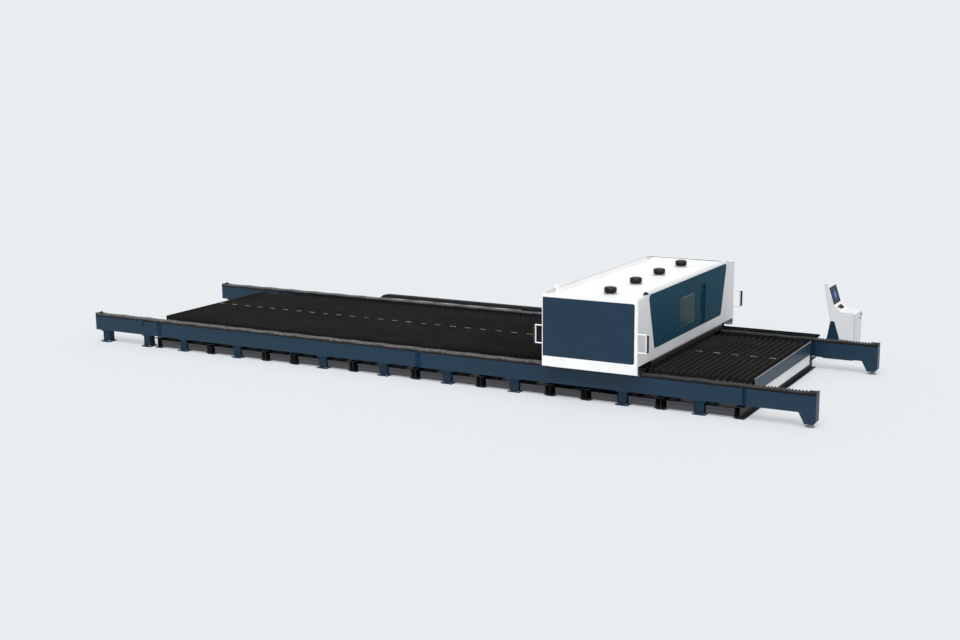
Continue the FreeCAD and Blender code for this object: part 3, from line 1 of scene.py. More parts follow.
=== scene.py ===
# %% [markdown]
# # A fiber laser cutting machine with a long fixed bed
#
# The real machine cuts steel plate. Two navy rails stand on the floor, one on
# each side of a long table of toothed slats. A white housing with the laser
# head inside rolls along the rails, and an operator's console stands beside
# the far rail. This lesson dresses a finished CAD model of it, piece by piece.
# The CAD model gives every place in metres, so nothing is fitted by eye.

# %% Load the machine
import json
import math
import random

import bmesh
import bpy
from mathutils import Matrix, Vector
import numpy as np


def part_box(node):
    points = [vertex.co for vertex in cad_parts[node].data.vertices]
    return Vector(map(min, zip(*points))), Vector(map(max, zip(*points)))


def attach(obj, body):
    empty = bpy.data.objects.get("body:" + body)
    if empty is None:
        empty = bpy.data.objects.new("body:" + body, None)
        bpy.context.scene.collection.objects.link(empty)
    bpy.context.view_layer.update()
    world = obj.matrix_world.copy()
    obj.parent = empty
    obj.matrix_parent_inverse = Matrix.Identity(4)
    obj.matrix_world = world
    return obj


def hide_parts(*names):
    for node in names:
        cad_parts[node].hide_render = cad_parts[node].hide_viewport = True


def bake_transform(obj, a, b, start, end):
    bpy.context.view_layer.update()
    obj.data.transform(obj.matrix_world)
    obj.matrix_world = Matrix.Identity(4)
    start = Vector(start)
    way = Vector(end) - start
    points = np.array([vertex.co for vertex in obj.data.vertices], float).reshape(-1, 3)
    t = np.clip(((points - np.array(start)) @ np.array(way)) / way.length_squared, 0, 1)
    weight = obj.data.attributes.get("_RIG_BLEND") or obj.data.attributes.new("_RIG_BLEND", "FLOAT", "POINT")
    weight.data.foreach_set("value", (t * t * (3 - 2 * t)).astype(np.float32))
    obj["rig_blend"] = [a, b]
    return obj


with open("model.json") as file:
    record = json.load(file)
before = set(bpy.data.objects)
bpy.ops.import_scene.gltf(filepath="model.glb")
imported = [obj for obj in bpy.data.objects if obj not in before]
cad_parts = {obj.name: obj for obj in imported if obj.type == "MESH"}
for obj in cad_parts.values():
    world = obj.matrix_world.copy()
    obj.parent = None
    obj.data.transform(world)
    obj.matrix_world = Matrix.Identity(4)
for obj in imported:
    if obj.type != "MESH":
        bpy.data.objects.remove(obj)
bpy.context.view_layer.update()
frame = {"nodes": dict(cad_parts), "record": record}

# %% [markdown]
# ## The camera
#
# The photograph was taken from the near right and from nearly six metres up. A
# perspective fit of the rails gave the place and the angles. A camera looks
# along its own -Z, so its three axes are worked out and put in one matrix,
# which avoids the question of the order of three rotation angles.

# %% Camera
CAMERA_PLACE = Vector((12.775, -22.946, 5.710))
CAMERA_TURN = math.radians(28.934)
CAMERA_PITCH = math.radians(10.995)
CAMERA_ROLL = math.radians(-0.49)
SENSOR = 36.0
FOCAL_PIXELS = 1375.44
PHOTO_WIDTH = 960

look = Vector((-math.sin(CAMERA_TURN) * math.cos(CAMERA_PITCH),
               math.cos(CAMERA_TURN) * math.cos(CAMERA_PITCH), -math.sin(CAMERA_PITCH)))
level = Vector((math.cos(CAMERA_TURN), math.sin(CAMERA_TURN), 0))
upright = level.cross(look)
right = level * math.cos(CAMERA_ROLL) + upright * math.sin(CAMERA_ROLL)
up = upright * math.cos(CAMERA_ROLL) - level * math.sin(CAMERA_ROLL)

lens = bpy.data.cameras.new("photo_camera")
lens.sensor_width = SENSOR
lens.lens = FOCAL_PIXELS * SENSOR / PHOTO_WIDTH
lens.clip_end = 200
camera = bpy.data.objects.new("photo_camera", lens)
axes = Matrix((right, up, -look)).transposed().to_4x4()
camera.matrix_world = Matrix.Translation(CAMERA_PLACE) @ axes
bpy.context.scene.collection.objects.link(camera)
bpy.context.scene.camera = camera
print("camera lens in mm:", round(lens.lens, 2))

# %% [markdown]
# ## Finishes
#
# Every surface of the machine is a node material. Nodes are quick to click but
# slow to read in a script, so three small classes help. `Wire` is a socket that
# Python can do sums with: `1 - mask * 0.5` adds the Math nodes. `Nodes` adds any
# other node in one call, and `Finish` is the node tree of one material.

# %% Sums with sockets
class Wire:
    """An output socket of a node tree, on which each operator adds a Math node."""

    def __init__(self, nodes, socket):
        self.math = nodes.math
        self.socket = socket

    def __add__(self, other):
        return self.math("ADD", self, other)

    def __radd__(self, other):
        return self.math("ADD", other, self)

    def __sub__(self, other):
        return self.math("SUBTRACT", self, other)

    def __rsub__(self, other):
        return self.math("SUBTRACT", other, self)

    def __mul__(self, other):
        return self.math("MULTIPLY", self, other)

    def __rmul__(self, other):
        return self.math("MULTIPLY", other, self)

    def __truediv__(self, other):
        return self.math("DIVIDE", self, other)

    def __mod__(self, other):
        return self.math("FLOORED_MODULO", self, other)

    def __gt__(self, other):
        return self.math("GREATER_THAN", self, other)

    def __lt__(self, other):
        return self.math("LESS_THAN", self, other)


# %% Any node in one call
# The Mix node has sockets for each kind of data, and these are its colour ones.
MIX_FIRST, MIX_SECOND, MIX_RESULT = 6, 7, 2
EDGE_CONTRAST = 6.0


class Nodes:
    """A node tree to which each call adds a node and gives back the node's output."""

    def __init__(self, tree):
        self.tree = tree

    def feed(self, socket, value):
        """Link a wire to the socket, or set the socket to a plain value."""
        if isinstance(value, Wire):
            self.tree.links.new(value.socket, socket)
        else:
            socket.default_value = value

    def node(self, kind, settings=None, inputs=None, output=0):
        made = self.tree.nodes.new("ShaderNode" + kind)
        for name, value in (settings or {}).items():
            if name == "stops":
                self.set_stops(made.color_ramp, value)
            else:
                setattr(made, name, value)
        for socket, value in (inputs or {}).items():
            self.feed(made.inputs[socket], value)
        return Wire(self, made.outputs[output])

    def set_stops(self, ramp, stops):
        while len(ramp.elements) < len(stops):
            ramp.elements.new(0.5)
        for element, (position, level) in zip(ramp.elements, stops):
            element.position = position
            element.color = (level, level, level, 1)

    def math(self, operation, *values):
        return self.node("Math", {"operation": operation}, dict(enumerate(values)))

    def seen_by(self, first, *others):
        """1 for the named kinds of ray, such as the camera's, and 0 for the rest."""
        seen = self.node("LightPath", output=f"Is {first} Ray")
        for kind in others:
            ray = self.node("LightPath", output=f"Is {kind} Ray")
            seen = self.math("MAXIMUM", seen, ray)
        return seen

    def show(self, output, share, first, second):
        """End the tree in two shaders that are mixed by the share of the second."""
        mix = self.node("MixShader", inputs={"Fac": share, 1: first, 2: second})
        self.feed(self.tree.nodes[output].inputs["Surface"], mix)


# %% One material at a time
class Finish(Nodes):
    """A material: its shader's constants are set at once, and nodes are added to it."""

    def __init__(self, name, **constants):
        self.material = bpy.data.materials.new(name)
        self.material.use_nodes = True
        super().__init__(self.material.node_tree)
        self.shader = self.tree.nodes["Principled BSDF"]
        for socket, value in constants.items():
            self.shader.inputs[socket.replace("_", " ")].default_value = value
        self.place = self.node("TexCoord", output="Object")

    def wear(self, socket, value):
        """Feed one of the shader's own sockets."""
        self.feed(self.shader.inputs[socket], value)

    def mixed(self, factor, first, second):
        """A colour between two colours; either may be a plain (r, g, b)."""
        inputs = {0: factor}
        for socket, colour in ((MIX_FIRST, first), (MIX_SECOND, second)):
            inputs[socket] = colour if isinstance(colour, Wire) else (*colour, 1)
        return self.node("Mix", {"data_type": "RGBA"}, inputs, MIX_RESULT)

    def ramp(self, value, *stops):
        return self.node("ValToRGB", {"stops": stops}, {"Fac": value})

    def span(self, value, start, end, low=0.0, high=1.0):
        """From low to high while the value goes from start to end."""
        return self.node("MapRange", inputs={"Value": value, "From Min": start, "From Max": end,
                                             "To Min": low, "To Max": high})

    def distance(self, place, point):
        return self.node("VectorMath", {"operation": "DISTANCE"}, {0: place, 1: point}, "Value")

    def noise(self, size, detail=3.0, place=None, roughness=0.55):
        """Cloudy noise whose blobs are about the size, in metres."""
        return self.node("TexNoise", inputs={"Vector": place or self.place, "Scale": 1 / size,
                                             "Detail": detail, "Roughness": roughness})

    def patches(self, size, detail, start, full, roughness=0.55, least=0.0):
        """Noise made into patches, from the least to 1 while it goes from start to full."""
        cloud = self.noise(size, detail, roughness=roughness)
        return self.ramp(cloud, (start, least), (full, 1.0))

    def stretched(self, x, y, z):
        """The place, scaled on each axis, so that a pattern is drawn out into streaks."""
        return self.node("Mapping", inputs={"Vector": self.place, "Scale": (x, y, z)})

    def axis(self, index, place=None):
        return self.node("SeparateXYZ", inputs={"Vector": place or self.place}, output=index)

    def flat_normal(self):
        return self.node("NewGeometry", output="Normal")

    def facing_up(self):
        return self.axis("Z", self.flat_normal())

    def bump(self, height, depth, normal=None):
        """Raise the surface by height times the depth in metres."""
        inputs = {"Height": height, "Distance": depth, "Strength": 1.0}
        if normal:
            inputs["Normal"] = normal
        return self.node("Bump", inputs=inputs)

    def soft_edges(self, radius):
        return self.node("Bevel", {"samples": 4}, {"Radius": radius})

    def edge_mask(self, radius):
        """1 near sharp edges: where a rounded normal leaves the flat one."""
        normals = {0: self.soft_edges(radius), 1: self.flat_normal()}
        same = self.node("VectorMath", {"operation": "DOT_PRODUCT"}, normals, "Value")
        return (1 - same) * EDGE_CONTRAST


def linear(red, green, blue):
    """The shader's linear colour for a colour given as 0 to 255 on screen."""
    return tuple(((c / 255 + 0.055) / 1.055) ** 2.4 if c > 10 else c / 255 / 12.92
                 for c in (red, green, blue))


# %% [markdown]
# ### Powder coat
#
# Most of the machine is sheet steel with a baked powder coat. Up close it has
# a fine orange-peel skin, and edges where the coat is thin catch the light.
# Plates drift a little in tone, dust settles on what faces up, and grime
# gathers near the floor. One function makes all the coats, so that they age
# alike, and the colour is the only large difference.

# %% Powder coats
COAT_DUST = (0.30, 0.29, 0.28)
FLOOR_GRIME = (0.055, 0.05, 0.044)
BARE_EDGE = (0.30, 0.31, 0.32)
COAT_ROUGHNESS = 0.42
EDGE_RADIUS = 0.004
GRIME_HEIGHT = 0.34


def coat_on(coat, colour, dust_and_sheen, grime, roughness=COAT_ROUGHNESS):
    """Give a coat its drift, dust, grime and worn edges; colour is plain or a wire."""
    drift = coat.noise(0.9, 2.0)
    tone = coat.mixed((1 - drift) * 0.22, colour, (0.01, 0.012, 0.014))
    specks = coat.patches(0.035, 5.0, 0.56, 0.74, 0.7)
    upward = coat.ramp(coat.facing_up(), (0.55, 0.0), (1.0, 1.0))
    settled = upward * (0.35 + specks) * dust_and_sheen
    dusty = coat.mixed(settled, tone, COAT_DUST)
    low = coat.span(coat.axis("Z"), 0.0, GRIME_HEIGHT, 1.0, 0.0)
    stains = coat.patches(0.16, 6.0, 0.4, 0.72, 0.62)
    soiled = coat.mixed(low * stains * grime, dusty, FLOOR_GRIME)
    thin = coat.patches(0.012, 4.0, 0.52, 0.7)
    worn = coat.node("Clamp", inputs={0: coat.edge_mask(EDGE_RADIUS * 0.6) * thin * 0.5})
    coat.wear("Base Color", coat.mixed(worn, soiled, BARE_EDGE))
    coat.wear("Roughness", roughness + settled * 0.5 + low * stains * 0.2 + (drift - 0.5) * 0.08)
    orange_peel = coat.noise(0.0035, 2.0)
    coat.wear("Normal", coat.bump(orange_peel, 0.00025, coat.soft_edges(EDGE_RADIUS)))
    return coat.material


def powder_coat(name, colour, dust_and_sheen=0.25, grime=0.3, roughness=COAT_ROUGHNESS, gloss=0.3):
    coat = Finish(name, IOR=1.5, Specular_IOR_Level=gloss)
    return coat_on(coat, colour, dust_and_sheen, grime, roughness)


NAVY = linear(16, 49, 70)
TEAL = linear(14, 64, 84)
WHITE = linear(252, 252, 252)
PALE_GREY = linear(226, 226, 226)
# The sleepers' navy is darkened to near black: painted shade, for the shadow under the rails.
SLEEPER_NAVY = linear(16, 26, 34)
DRAWER_GREY = linear(70, 71, 74)
finishes = {
    "navy_paint": powder_coat("navy_coat", NAVY, dust_and_sheen=0.12),
    "sleeper_paint": powder_coat("sleeper_coat", SLEEPER_NAVY, dust_and_sheen=0.12, grime=0.6, gloss=0.2),
    "white_paint": powder_coat("white_coat", WHITE, dust_and_sheen=0.03, grime=0.1, roughness=0.38),
    "light_grey_paint": powder_coat("light_grey_coat", PALE_GREY, dust_and_sheen=0.06, grime=0.1),
    # The grey coat is darkened almost to black: painted shade for the end trucks, which stand in the shadow
    # under the housing.
    "grey_paint": powder_coat("grey_coat", linear(40, 43, 47)),
    "motor_black": powder_coat("motor_coat", linear(34, 35, 37), dust_and_sheen=0.2, roughness=0.34),
    "drawer_paint": powder_coat("drawer_coat", DRAWER_GREY, dust_and_sheen=0.35, grime=0.5, roughness=0.55),
}
print("powder coats:", len(finishes))

# %% [markdown]
# ### Coats that change with place
#
# The table's end panel is one CAD node, but its upper half is navy with a pale
# rubbed edge along the top and its lower half is pale, so its colour changes
# with height. The left panel is black. The side panels have a small black key
# lock near their upper left corner, and a distance from one point draws it. The
# far rail's inner face beside the slats is painted near black as painted shade,
# for the shadow between table and rail. The fascias, the door and the legs are a
# greener navy.

# %% Banded, shaded and locked
PANEL_SPLIT = 0.345
SHADE_START = 0.45
LOCK = (2.952, 0.0, 1.666)
LOCK_RADIUS = 0.013
SLOT_RADIUS = LOCK_RADIUS * 0.4
# Near black: painted shade on the far rail's inner face, and the plain colour of the left end panel.
NEAR_BLACK = linear(22, 24, 27)


def banded_panel(name):
    panel = Finish(name, Specular_IOR_Level=0.3)
    rubbed_lip = (panel.facing_up() > 0.5) * (panel.axis("X") > 0.0)
    upper = panel.mixed(rubbed_lip, NAVY, PALE_GREY)
    banded = panel.mixed(panel.axis("Z") > PANEL_SPLIT, PALE_GREY, upper)
    colour = panel.mixed(panel.axis("X") > 0.0, NEAR_BLACK, banded)
    return coat_on(panel, colour, 0.1, 0.3)


def shaded_rail(name, slats_low, slats_high):
    """Navy, with painted shade: the face that looks at the slats is near black along their length."""
    rail = Finish(name, Specular_IOR_Level=0.3)
    # Painted shade: the inner face beside the slats is made near black, for the shadow between table and
    # rail.
    inward = rail.axis("Y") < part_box("far_rail")[0].y + 0.01
    beside = (rail.axis("X") > slats_low.x + SHADE_START) * (rail.axis("X") < slats_high.x)
    return coat_on(rail, rail.mixed(inward * beside * 0.95, NAVY, NEAR_BLACK), 0.12, 0.3)


def locked_panel(name):
    panel = Finish(name, Specular_IOR_Level=0.3)
    away = panel.distance(panel.stretched(1, 0, 1), LOCK)
    colour = panel.mixed(away < LOCK_RADIUS, NAVY, linear(14, 15, 17))
    slotted = panel.mixed(away < SLOT_RADIUS, colour, linear(120, 122, 126))
    return coat_on(panel, slotted, 0.12, 0.2)


MATT = {"dust_and_sheen": 0.05, "grime": 0.1, "roughness": 0.55, "gloss": 0.05}
CONSOLE = {"dust_and_sheen": 0.04, "grime": 0.1, "roughness": 0.4}
node_finishes = {
    "fascias": powder_coat("fascia_coat", TEAL, **MATT),
    "sliding_door": powder_coat("door_coat", TEAL, **MATT),
    "table_end_panels": banded_panel("end_panel_coat"),
    "side_panels": locked_panel("side_panel_coat"),
    "far_rail": shaded_rail("far_rail_coat", *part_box("slats")),
    "rail_legs": powder_coat("leg_coat", linear(3, 46, 68), 0.12, 0.5, gloss=0.15),
    "chain_tray": powder_coat("chain_tray_coat", linear(20, 22, 25), 0.2, 0.2, gloss=0.15),
    "console_cabinet": powder_coat("console_coat", linear(238, 239, 240), **CONSOLE),
    "console_door": powder_coat("console_door_coat", linear(214, 215, 216), **CONSOLE),
    "rail_end_stops": powder_coat("end_stop_coat", linear(24, 28, 33), 0.15, 0.2, gloss=0.2),
}

# %% [markdown]
# ### Steel and aluminium
#
# The slats are laser-cut plate with dull scale, and they are burnt, streaked
# and spattered where sheets were cut on them. Guide rails and racks are
# ground bright. Brushed metal needs long thin noise along the grinding
# direction, which is ordinary noise on a place that is scaled on one axis.

# %% Metals
OIL_FILM = (0.12, 0.105, 0.09)
TIP_HEIGHT = 0.040
TIE_GREY = linear(206, 205, 200)


def brushed_metal(name, colour, roughness, along=0):
    metal = Finish(name, Metallic=1.0)
    scale = [1.0, 1.0, 1.0]
    scale[along] = 0.02
    grain = metal.noise(0.002, 3.0, place=metal.stretched(*scale))
    film = metal.patches(0.22, 5.0, 0.42, 0.75)
    dark = tuple(c * 0.72 for c in colour)
    metal.wear("Base Color", metal.mixed(film * 0.6, metal.mixed(grain, dark, colour), OIL_FILM))
    metal.wear("Roughness", roughness + grain * 0.14 + film * 0.2)
    metal.wear("Normal", metal.bump(grain, 0.00006, metal.soft_edges(0.0012)))
    return metal.material


def burnt_steel(name, tip):
    """Slats: dark scale, brown heat tints, paler burnt tips and pale spatter."""
    steel = Finish(name, Metallic=0.25, Specular_IOR_Level=0.3)
    scale = steel.noise(0.06, 6.0, roughness=0.68)
    streaks = steel.noise(0.02, 4.0, place=steel.stretched(1.0, 1.0, 0.12))
    clouds = steel.noise(0.45, 4.0, place=steel.stretched(0.5, 1.0, 1.0))
    broad = steel.ramp(clouds, (0.35, 0.0), (0.65, 1.0))
    worn = steel.mixed(broad, linear(44, 44, 45), linear(66, 65, 64))
    base = steel.mixed(scale, linear(24, 24, 25), worn)
    rust = steel.patches(0.11, 5.0, 0.52, 0.72, 0.7)
    rusty = steel.mixed(rust * 0.4, base, linear(66, 52, 44))
    tips = steel.span(steel.axis("Z"), tip - TIP_HEIGHT, tip)
    burnt = steel.mixed(tips * (0.1 + streaks * 0.4), rusty, linear(80, 79, 78))
    spatter = steel.patches(0.007, 2.0, 0.66, 0.72)
    steel.wear("Base Color", steel.mixed(spatter * 0.6, burnt, linear(120, 117, 112)))
    steel.wear("Roughness", 0.5 + scale * 0.25)
    steel.wear("Normal", steel.bump(scale + spatter * 0.8, 0.0008))
    return steel.material


def zinc(name):
    """Zinc plate: bright flat crystals, each a slightly different grey."""
    plated = Finish(name, Metallic=0.6)
    cells = {"Vector": plated.place, "Scale": 90.0}
    shade = plated.axis("X", plated.node("TexVoronoi", inputs=cells, output="Color"))
    plated.wear("Base Color", plated.mixed(shade, linear(158, 160, 163), linear(204, 206, 209)))
    plated.wear("Roughness", 0.32 + shade * 0.16)
    plated.wear("Normal", plated.soft_edges(0.001))
    return plated.material


def zinc_dark_below(name, pale_from):
    """Zinc plate on the upper bar, and near black below it, between the slats."""
    tie = Finish(name, Metallic=0.3)
    clean = tie.span(tie.axis("Z"), pale_from - 0.002, pale_from + 0.003)
    patches = tie.patches(0.05, 4.0, 0.42, 0.6, least=0.4)
    tie.wear("Base Color", tie.mixed(clean * patches, linear(30, 30, 31), TIE_GREY))
    tie.wear("Roughness", 0.65 - clean * 0.2)
    tie.wear("Normal", tie.bump(patches, 0.0003))
    return tie.material


# %% [markdown]
# ### Cloth, plastic and glass
#
# The rail covers are pleated cloth with a black coating. The up-facing tops of
# the long left covers get a painted sheen, pale grey for the light the folds
# catch, which fades out towards the right ones, so the painted sheen depends on
# the place along the rail. The energy chain and the grips are moulded plastic
# with a fine grain. The window is dark filter glass, and the console shows a lit
# screen: a blue glow and a few dim panes, with no words on it.

# %% Cloth and plastic
SHEEN_UNTIL, SHEEN_GONE_FROM = 2.9, 4.4


def coated_cloth(name):
    cloth = Finish(name, Specular_IOR_Level=0.25, Sheen_Weight=0.08, Sheen_Roughness=0.4)
    weave = cloth.node("TexWave", {"wave_type": "BANDS", "bands_direction": "DIAGONAL"},
                       {"Vector": cloth.place, "Scale": 520.0, "Distortion": 0.4})
    patches = cloth.patches(0.05, 5.0, 0.43, 0.62, 0.7, least=0.12)
    # Painted sheen: the up-facing tops of the folds are painted pale grey for the light they catch. It is
    # strongest on the left covers and gone on the right.
    sheen_side = cloth.span(cloth.axis("X"), SHEEN_UNTIL, SHEEN_GONE_FROM, 0.46, 0.12)
    dust_and_sheen = cloth.ramp(cloth.facing_up(), (0.3, 0.0), (0.95, 1.0)) * patches * sheen_side
    base = cloth.mixed(weave, linear(10, 11, 13), linear(20, 21, 24))
    cloth.wear("Base Color", cloth.mixed(dust_and_sheen, base, linear(172, 170, 166)))
    cloth.wear("Roughness", 0.52 + dust_and_sheen * 0.3)
    cloth.wear("Normal", cloth.bump(weave, 0.0004))
    return cloth.material


def moulded(name, colour, roughness, coat=0.0, gloss=0.5):
    plastic = Finish(name, Coat_Weight=coat, Coat_Roughness=0.1, Specular_IOR_Level=gloss)
    mottle = plastic.noise(0.05, 4.0)
    lighter = tuple(min(1.0, c * 1.5 + 0.006) for c in colour)
    plastic.wear("Base Color", plastic.mixed(mottle * 0.6, colour, lighter))
    plastic.wear("Roughness", roughness + (mottle - 0.5) * 0.15)
    grain = plastic.noise(0.0016, 2.0)
    plastic.wear("Normal", plastic.bump(grain, 0.00018, plastic.soft_edges(0.0015)))
    return plastic.material


# %% Glass and the lit screen
def filter_glass(name, low, high):
    """Dark laser-safe glass, olive near its two upright edges, with a faint smear."""
    glass = Finish(name, Transmission_Weight=0.12, IOR=1.2, Roughness=0.18,
                   Specular_IOR_Level=0.1)
    smear = glass.noise(0.12, 5.0, roughness=0.6)
    across = (glass.axis("Y") - low.y) / (high.y - low.y)
    from_middle = glass.math("ABSOLUTE", across - 0.5) * 2.0
    rim = glass.ramp(from_middle, (0.35, 0.0), (0.8, 0.75))
    middle = glass.mixed(smear, linear(20, 58, 70), linear(28, 68, 78))
    glass.wear("Base Color", glass.mixed(rim, middle, linear(40, 60, 36)))
    glass.wear("Normal", glass.bump(smear, 0.0002))
    return glass.material


def lit_screen(name, low, high):
    """A dark display with a soft blue glow in its middle and a few dim panes over it."""
    screen = Finish(name, Roughness=0.3, Specular_IOR_Level=0.06, Emission_Strength=0.9)
    across = (screen.axis("Y") - low.y) / (high.y - low.y)
    rise = (screen.axis("Z") - low.z) / (high.z - low.z)

    def pane(a0, b0, a1, b1):
        return (across > a0) * (across < a1) * (rise > b0) * (rise < b1)

    uneven = screen.noise(0.06, 4.0) * 0.35
    spread = screen.node("CombineXYZ", inputs={0: across * 1.5, 1: rise, 2: uneven})
    glow = screen.ramp(screen.distance(spread, (0.84, 0.5, 0.17)), (0.02, 1.0), (0.42, 0.0))
    lines = ((rise * 11.0) % 1.0) > 0.5
    blue = screen.mixed(glow, linear(3, 6, 16), linear(4, 96, 200))
    core = screen.mixed(glow * glow * glow * 0.5, blue, linear(110, 200, 250))
    rows = screen.mixed(pane(0.10, 0.14, 0.26, 0.74) * lines * 0.5, core, linear(30, 74, 130))
    header = screen.mixed(pane(0.08, 0.86, 0.92, 0.92) * 0.6, rows, linear(30, 74, 130))
    screen.wear("Base Color", screen.mixed(screen.noise(0.2), linear(5, 6, 8), linear(10, 12, 15)))
    screen.wear("Emission Color", screen.mixed(pane(0.05, 0.05, 0.95, 0.95), (0, 0, 0), header))
    screen.wear("Normal", screen.soft_edges(0.001))
    return screen.material


TIE_PALE_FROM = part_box("slats")[1].z - 0.010
finishes.update({
    "mill_scale_steel": burnt_steel("burnt_slat_steel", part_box("slats")[1].z),
    "bare_steel": brushed_metal("ground_steel", linear(176, 179, 184), 0.24),
    "zinc_steel": zinc("zinc_plate"),
    "zinc_dark_below": zinc_dark_below("zinc_plate_dark_below", TIE_PALE_FROM),
    "machined_aluminium": brushed_metal("machined_aluminium", linear(200, 202, 206), 0.28, 1),
    "black_fabric": coated_cloth("coated_pleat_cloth"),
    "black_plastic": moulded("black_grip_plastic", linear(18, 19, 21), 0.3),
    "gloss_plastic": moulded("glossy_black_plastic", linear(8, 9, 11), 0.22, 0.12, 0.3),
    "splice_paint": powder_coat("splice_coat", linear(4, 48, 70), dust_and_sheen=0.1, gloss=0.1),
    "keypad_black": moulded("keypad_black", linear(16, 17, 20), 0.5, gloss=0.15),
    "chain_plastic": moulded("chain_nylon", linear(20, 21, 23), 0.5),
    "red_plastic": moulded("red_button_plastic", linear(190, 26, 22), 0.3, coat=0.5),
    "tinted_window": filter_glass("green_filter_glass", *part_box("door_window")),
    "screen_glass": lit_screen("lit_screen", *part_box("console_screen")),
})
print("finishes:", len(finishes))

# %% [markdown]
# ### Finishes on the CAD nodes
#
# Most CAD nodes already have the right shape and only need their finish. The
# record names a material slot for each node, so one loop dresses them all, and
# the special coats go on their own nodes.

# %% Dress the CAD nodes
for part in frame["record"]["subparts"]:
    node = part["node"]
    materials = frame["nodes"][node].data.materials
    materials.clear()
    materials.append(node_finishes.get(node, finishes[part["material_slot"]]))
print("dressed nodes:", len(frame["nodes"]))

# %% [markdown]
# ## Building forms from points
#
# The details are made in mesh code. Most of them are a closed outline that is
# carried along a line: a slat, a pleat, a bolt, a chain link. So one class
# collects a mesh, and its methods add a carried outline, a turned profile or a
# plate. Points are in metres in the machine's own frame, so a finished piece
# needs no placing.

# %% The shape helper
SHARP_ANGLE = math.radians(35)


class Shape:
    """A mesh in the making."""

    def __init__(self):
        self.mesh = bmesh.new()

    def skin(self, rings, capped=True, looped=False):
        """Faces between rings of points, each ring joined to the one after it."""
        rows = [[self.mesh.verts.new(place) for place in ring] for ring in rings]
        pairs = list(zip(rows, rows[1:] + rows[:1] if looped else rows[1:]))
        for one, two in pairs:
            for i in range(len(one)):
                j = (i + 1) % len(one)
                self.mesh.faces.new((one[i], one[j], two[j], two[i]))
        if capped and not looped:
            self.mesh.faces.new(reversed(rows[0]))
            self.mesh.faces.new(rows[-1])

    def block(self, low, high):
        (x0, y0, z0), (x1, y1, z1) = low, high
        self.skin([[(x0, y0, z), (x1, y0, z), (x1, y1, z), (x0, y1, z)] for z in (z0, z1)])

    def plate(self, outline, place, start, end):
        """Carry a flat outline of (a, b) from start to end.

        The function place turns (a, b, along) into x, y and z.
        """
        self.skin([[place(a, b, along) for a, b in outline] for along in (start, end)])

    def turned(self, profile, centre, axis=(0, 0, 1), sides=32, looped=False, turn=0.0):
        """Turn a profile of (radius, height) about an axis that starts at the centre."""
        axis, centre = Vector(axis).normalized(), Vector(centre)
        side = axis.orthogonal().normalized()
        other = axis.cross(side)
        angles = [2 * math.pi * step / sides + turn for step in range(sides)]
        spokes = [side * math.cos(angle) + other * math.sin(angle) for angle in angles]
        self.skin([[centre + axis * height + spoke * radius for spoke in spokes]
                   for radius, height in profile], looped=looped)

    def ring(self, outer, inner, place, back, front, inner_front):
        """A frame between two outlines, each with as many points, as a closed ring."""
        self.skin([[place(a, b, along) for a, b in line] for line, along in
                   ((outer, back), (outer, front), (inner, inner_front), (inner, back))],
                  looped=True)

    def rod(self, path, radius, sides=12):
        """A round rod along a path of points, with a mitre at each bend."""
        path = [Vector(point) for point in path]
        ways = [(after - before).normalized() for before, after in zip(path, path[1:])]
        side = ways[0].orthogonal().normalized()
        rings = []
        for index, point in enumerate(path):
            way = ways[max(0, index - 1)] + ways[min(index, len(ways) - 1)]
            way.normalize()
            side = (side - way * side.dot(way)).normalized()
            other = way.cross(side)
            stretch = 1 / max(0.5, way.dot(ways[min(index, len(ways) - 1)]))
            angles = [2 * math.pi * step / sides for step in range(sides)]
            rings.append([point + (side * math.cos(angle) + other * math.sin(angle))
                          * radius * stretch for angle in angles])
        self.skin(rings)

    def made(self, name, slot, edge=0.0, smooth=False, finish=None):
        """Make the mesh an object with its finish, and round its sharp edges by a bevel.

        The slot names the record's material, and a finish of its own may stand for it.
        """
        bmesh.ops.recalc_face_normals(self.mesh, faces=self.mesh.faces)
        data = bpy.data.meshes.new(name)
        self.mesh.to_mesh(data)
        self.mesh.free()
        piece = bpy.data.objects.new(name, data)
        bpy.context.scene.collection.objects.link(piece)
        data.materials.append(finishes[finish or slot])
        if edge:
            bevel = piece.modifiers.new("rounded_edges", "BEVEL")
            bevel.width = edge
            bevel.segments = 2
            bevel.limit_method = "ANGLE"
            bevel.harden_normals = True
        if smooth or edge:
            data.polygons.foreach_set("use_smooth", [True] * len(data.polygons))
            data.set_sharp_from_angle(angle=SHARP_ANGLE)
        return piece


def rounded(a0, b0, a1, b1, radius, steps=5):
    """A rectangle's outline with round corners, counter-clockwise."""
    outline = []
    for a, b, start in ((a1 - radius, b0 + radius, -90), (a1 - radius, b1 - radius, 0),
                        (a0 + radius, b1 - radius, 90), (a0 + radius, b0 + radius, 180)):
        for step in range(steps + 1):
            angle = math.radians(start + 90 * step / steps)
            outline.append((a + radius * math.cos(angle), b + radius * math.sin(angle)))
    return outline


def facing_right(a, b, along):
    """An outline on a side wall that faces +X: a runs along Y and b up."""
    return along, a, b


def facing_near(a, b, along):
    """An outline on a wall that faces -Y: a runs along X and b up."""
    return a, along, b


rng = random.Random(20)

# %% [markdown]
# ## The slats
#
# A sheet of steel lies on the tips of toothed slats, so that the beam touches
# as little as possible and the slag falls through. Each slat is cut from plate:
# a long comb with a narrow flat on every tooth. The CAD slats have the right
# place and thickness. Here each one gets its row of teeth, and since the beam
# burns the tips unevenly, every tip is a little lower by a random amount.

# %% Toothed slats
slat_low, slat_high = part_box("slats")
SLATS = 111
SLAT_THICKNESS = 0.005
TOOTH_DEPTH = 0.040
TEETH = 54
BURNT, BROKEN, BROKEN_SHARE = 0.003, 0.01, 0.08
slat_pitch = (slat_high.x - slat_low.x - SLAT_THICKNESS) / (SLATS - 1)
tooth_pitch = (slat_high.y - slat_low.y) / TEETH
valley = slat_high.z - TOOTH_DEPTH


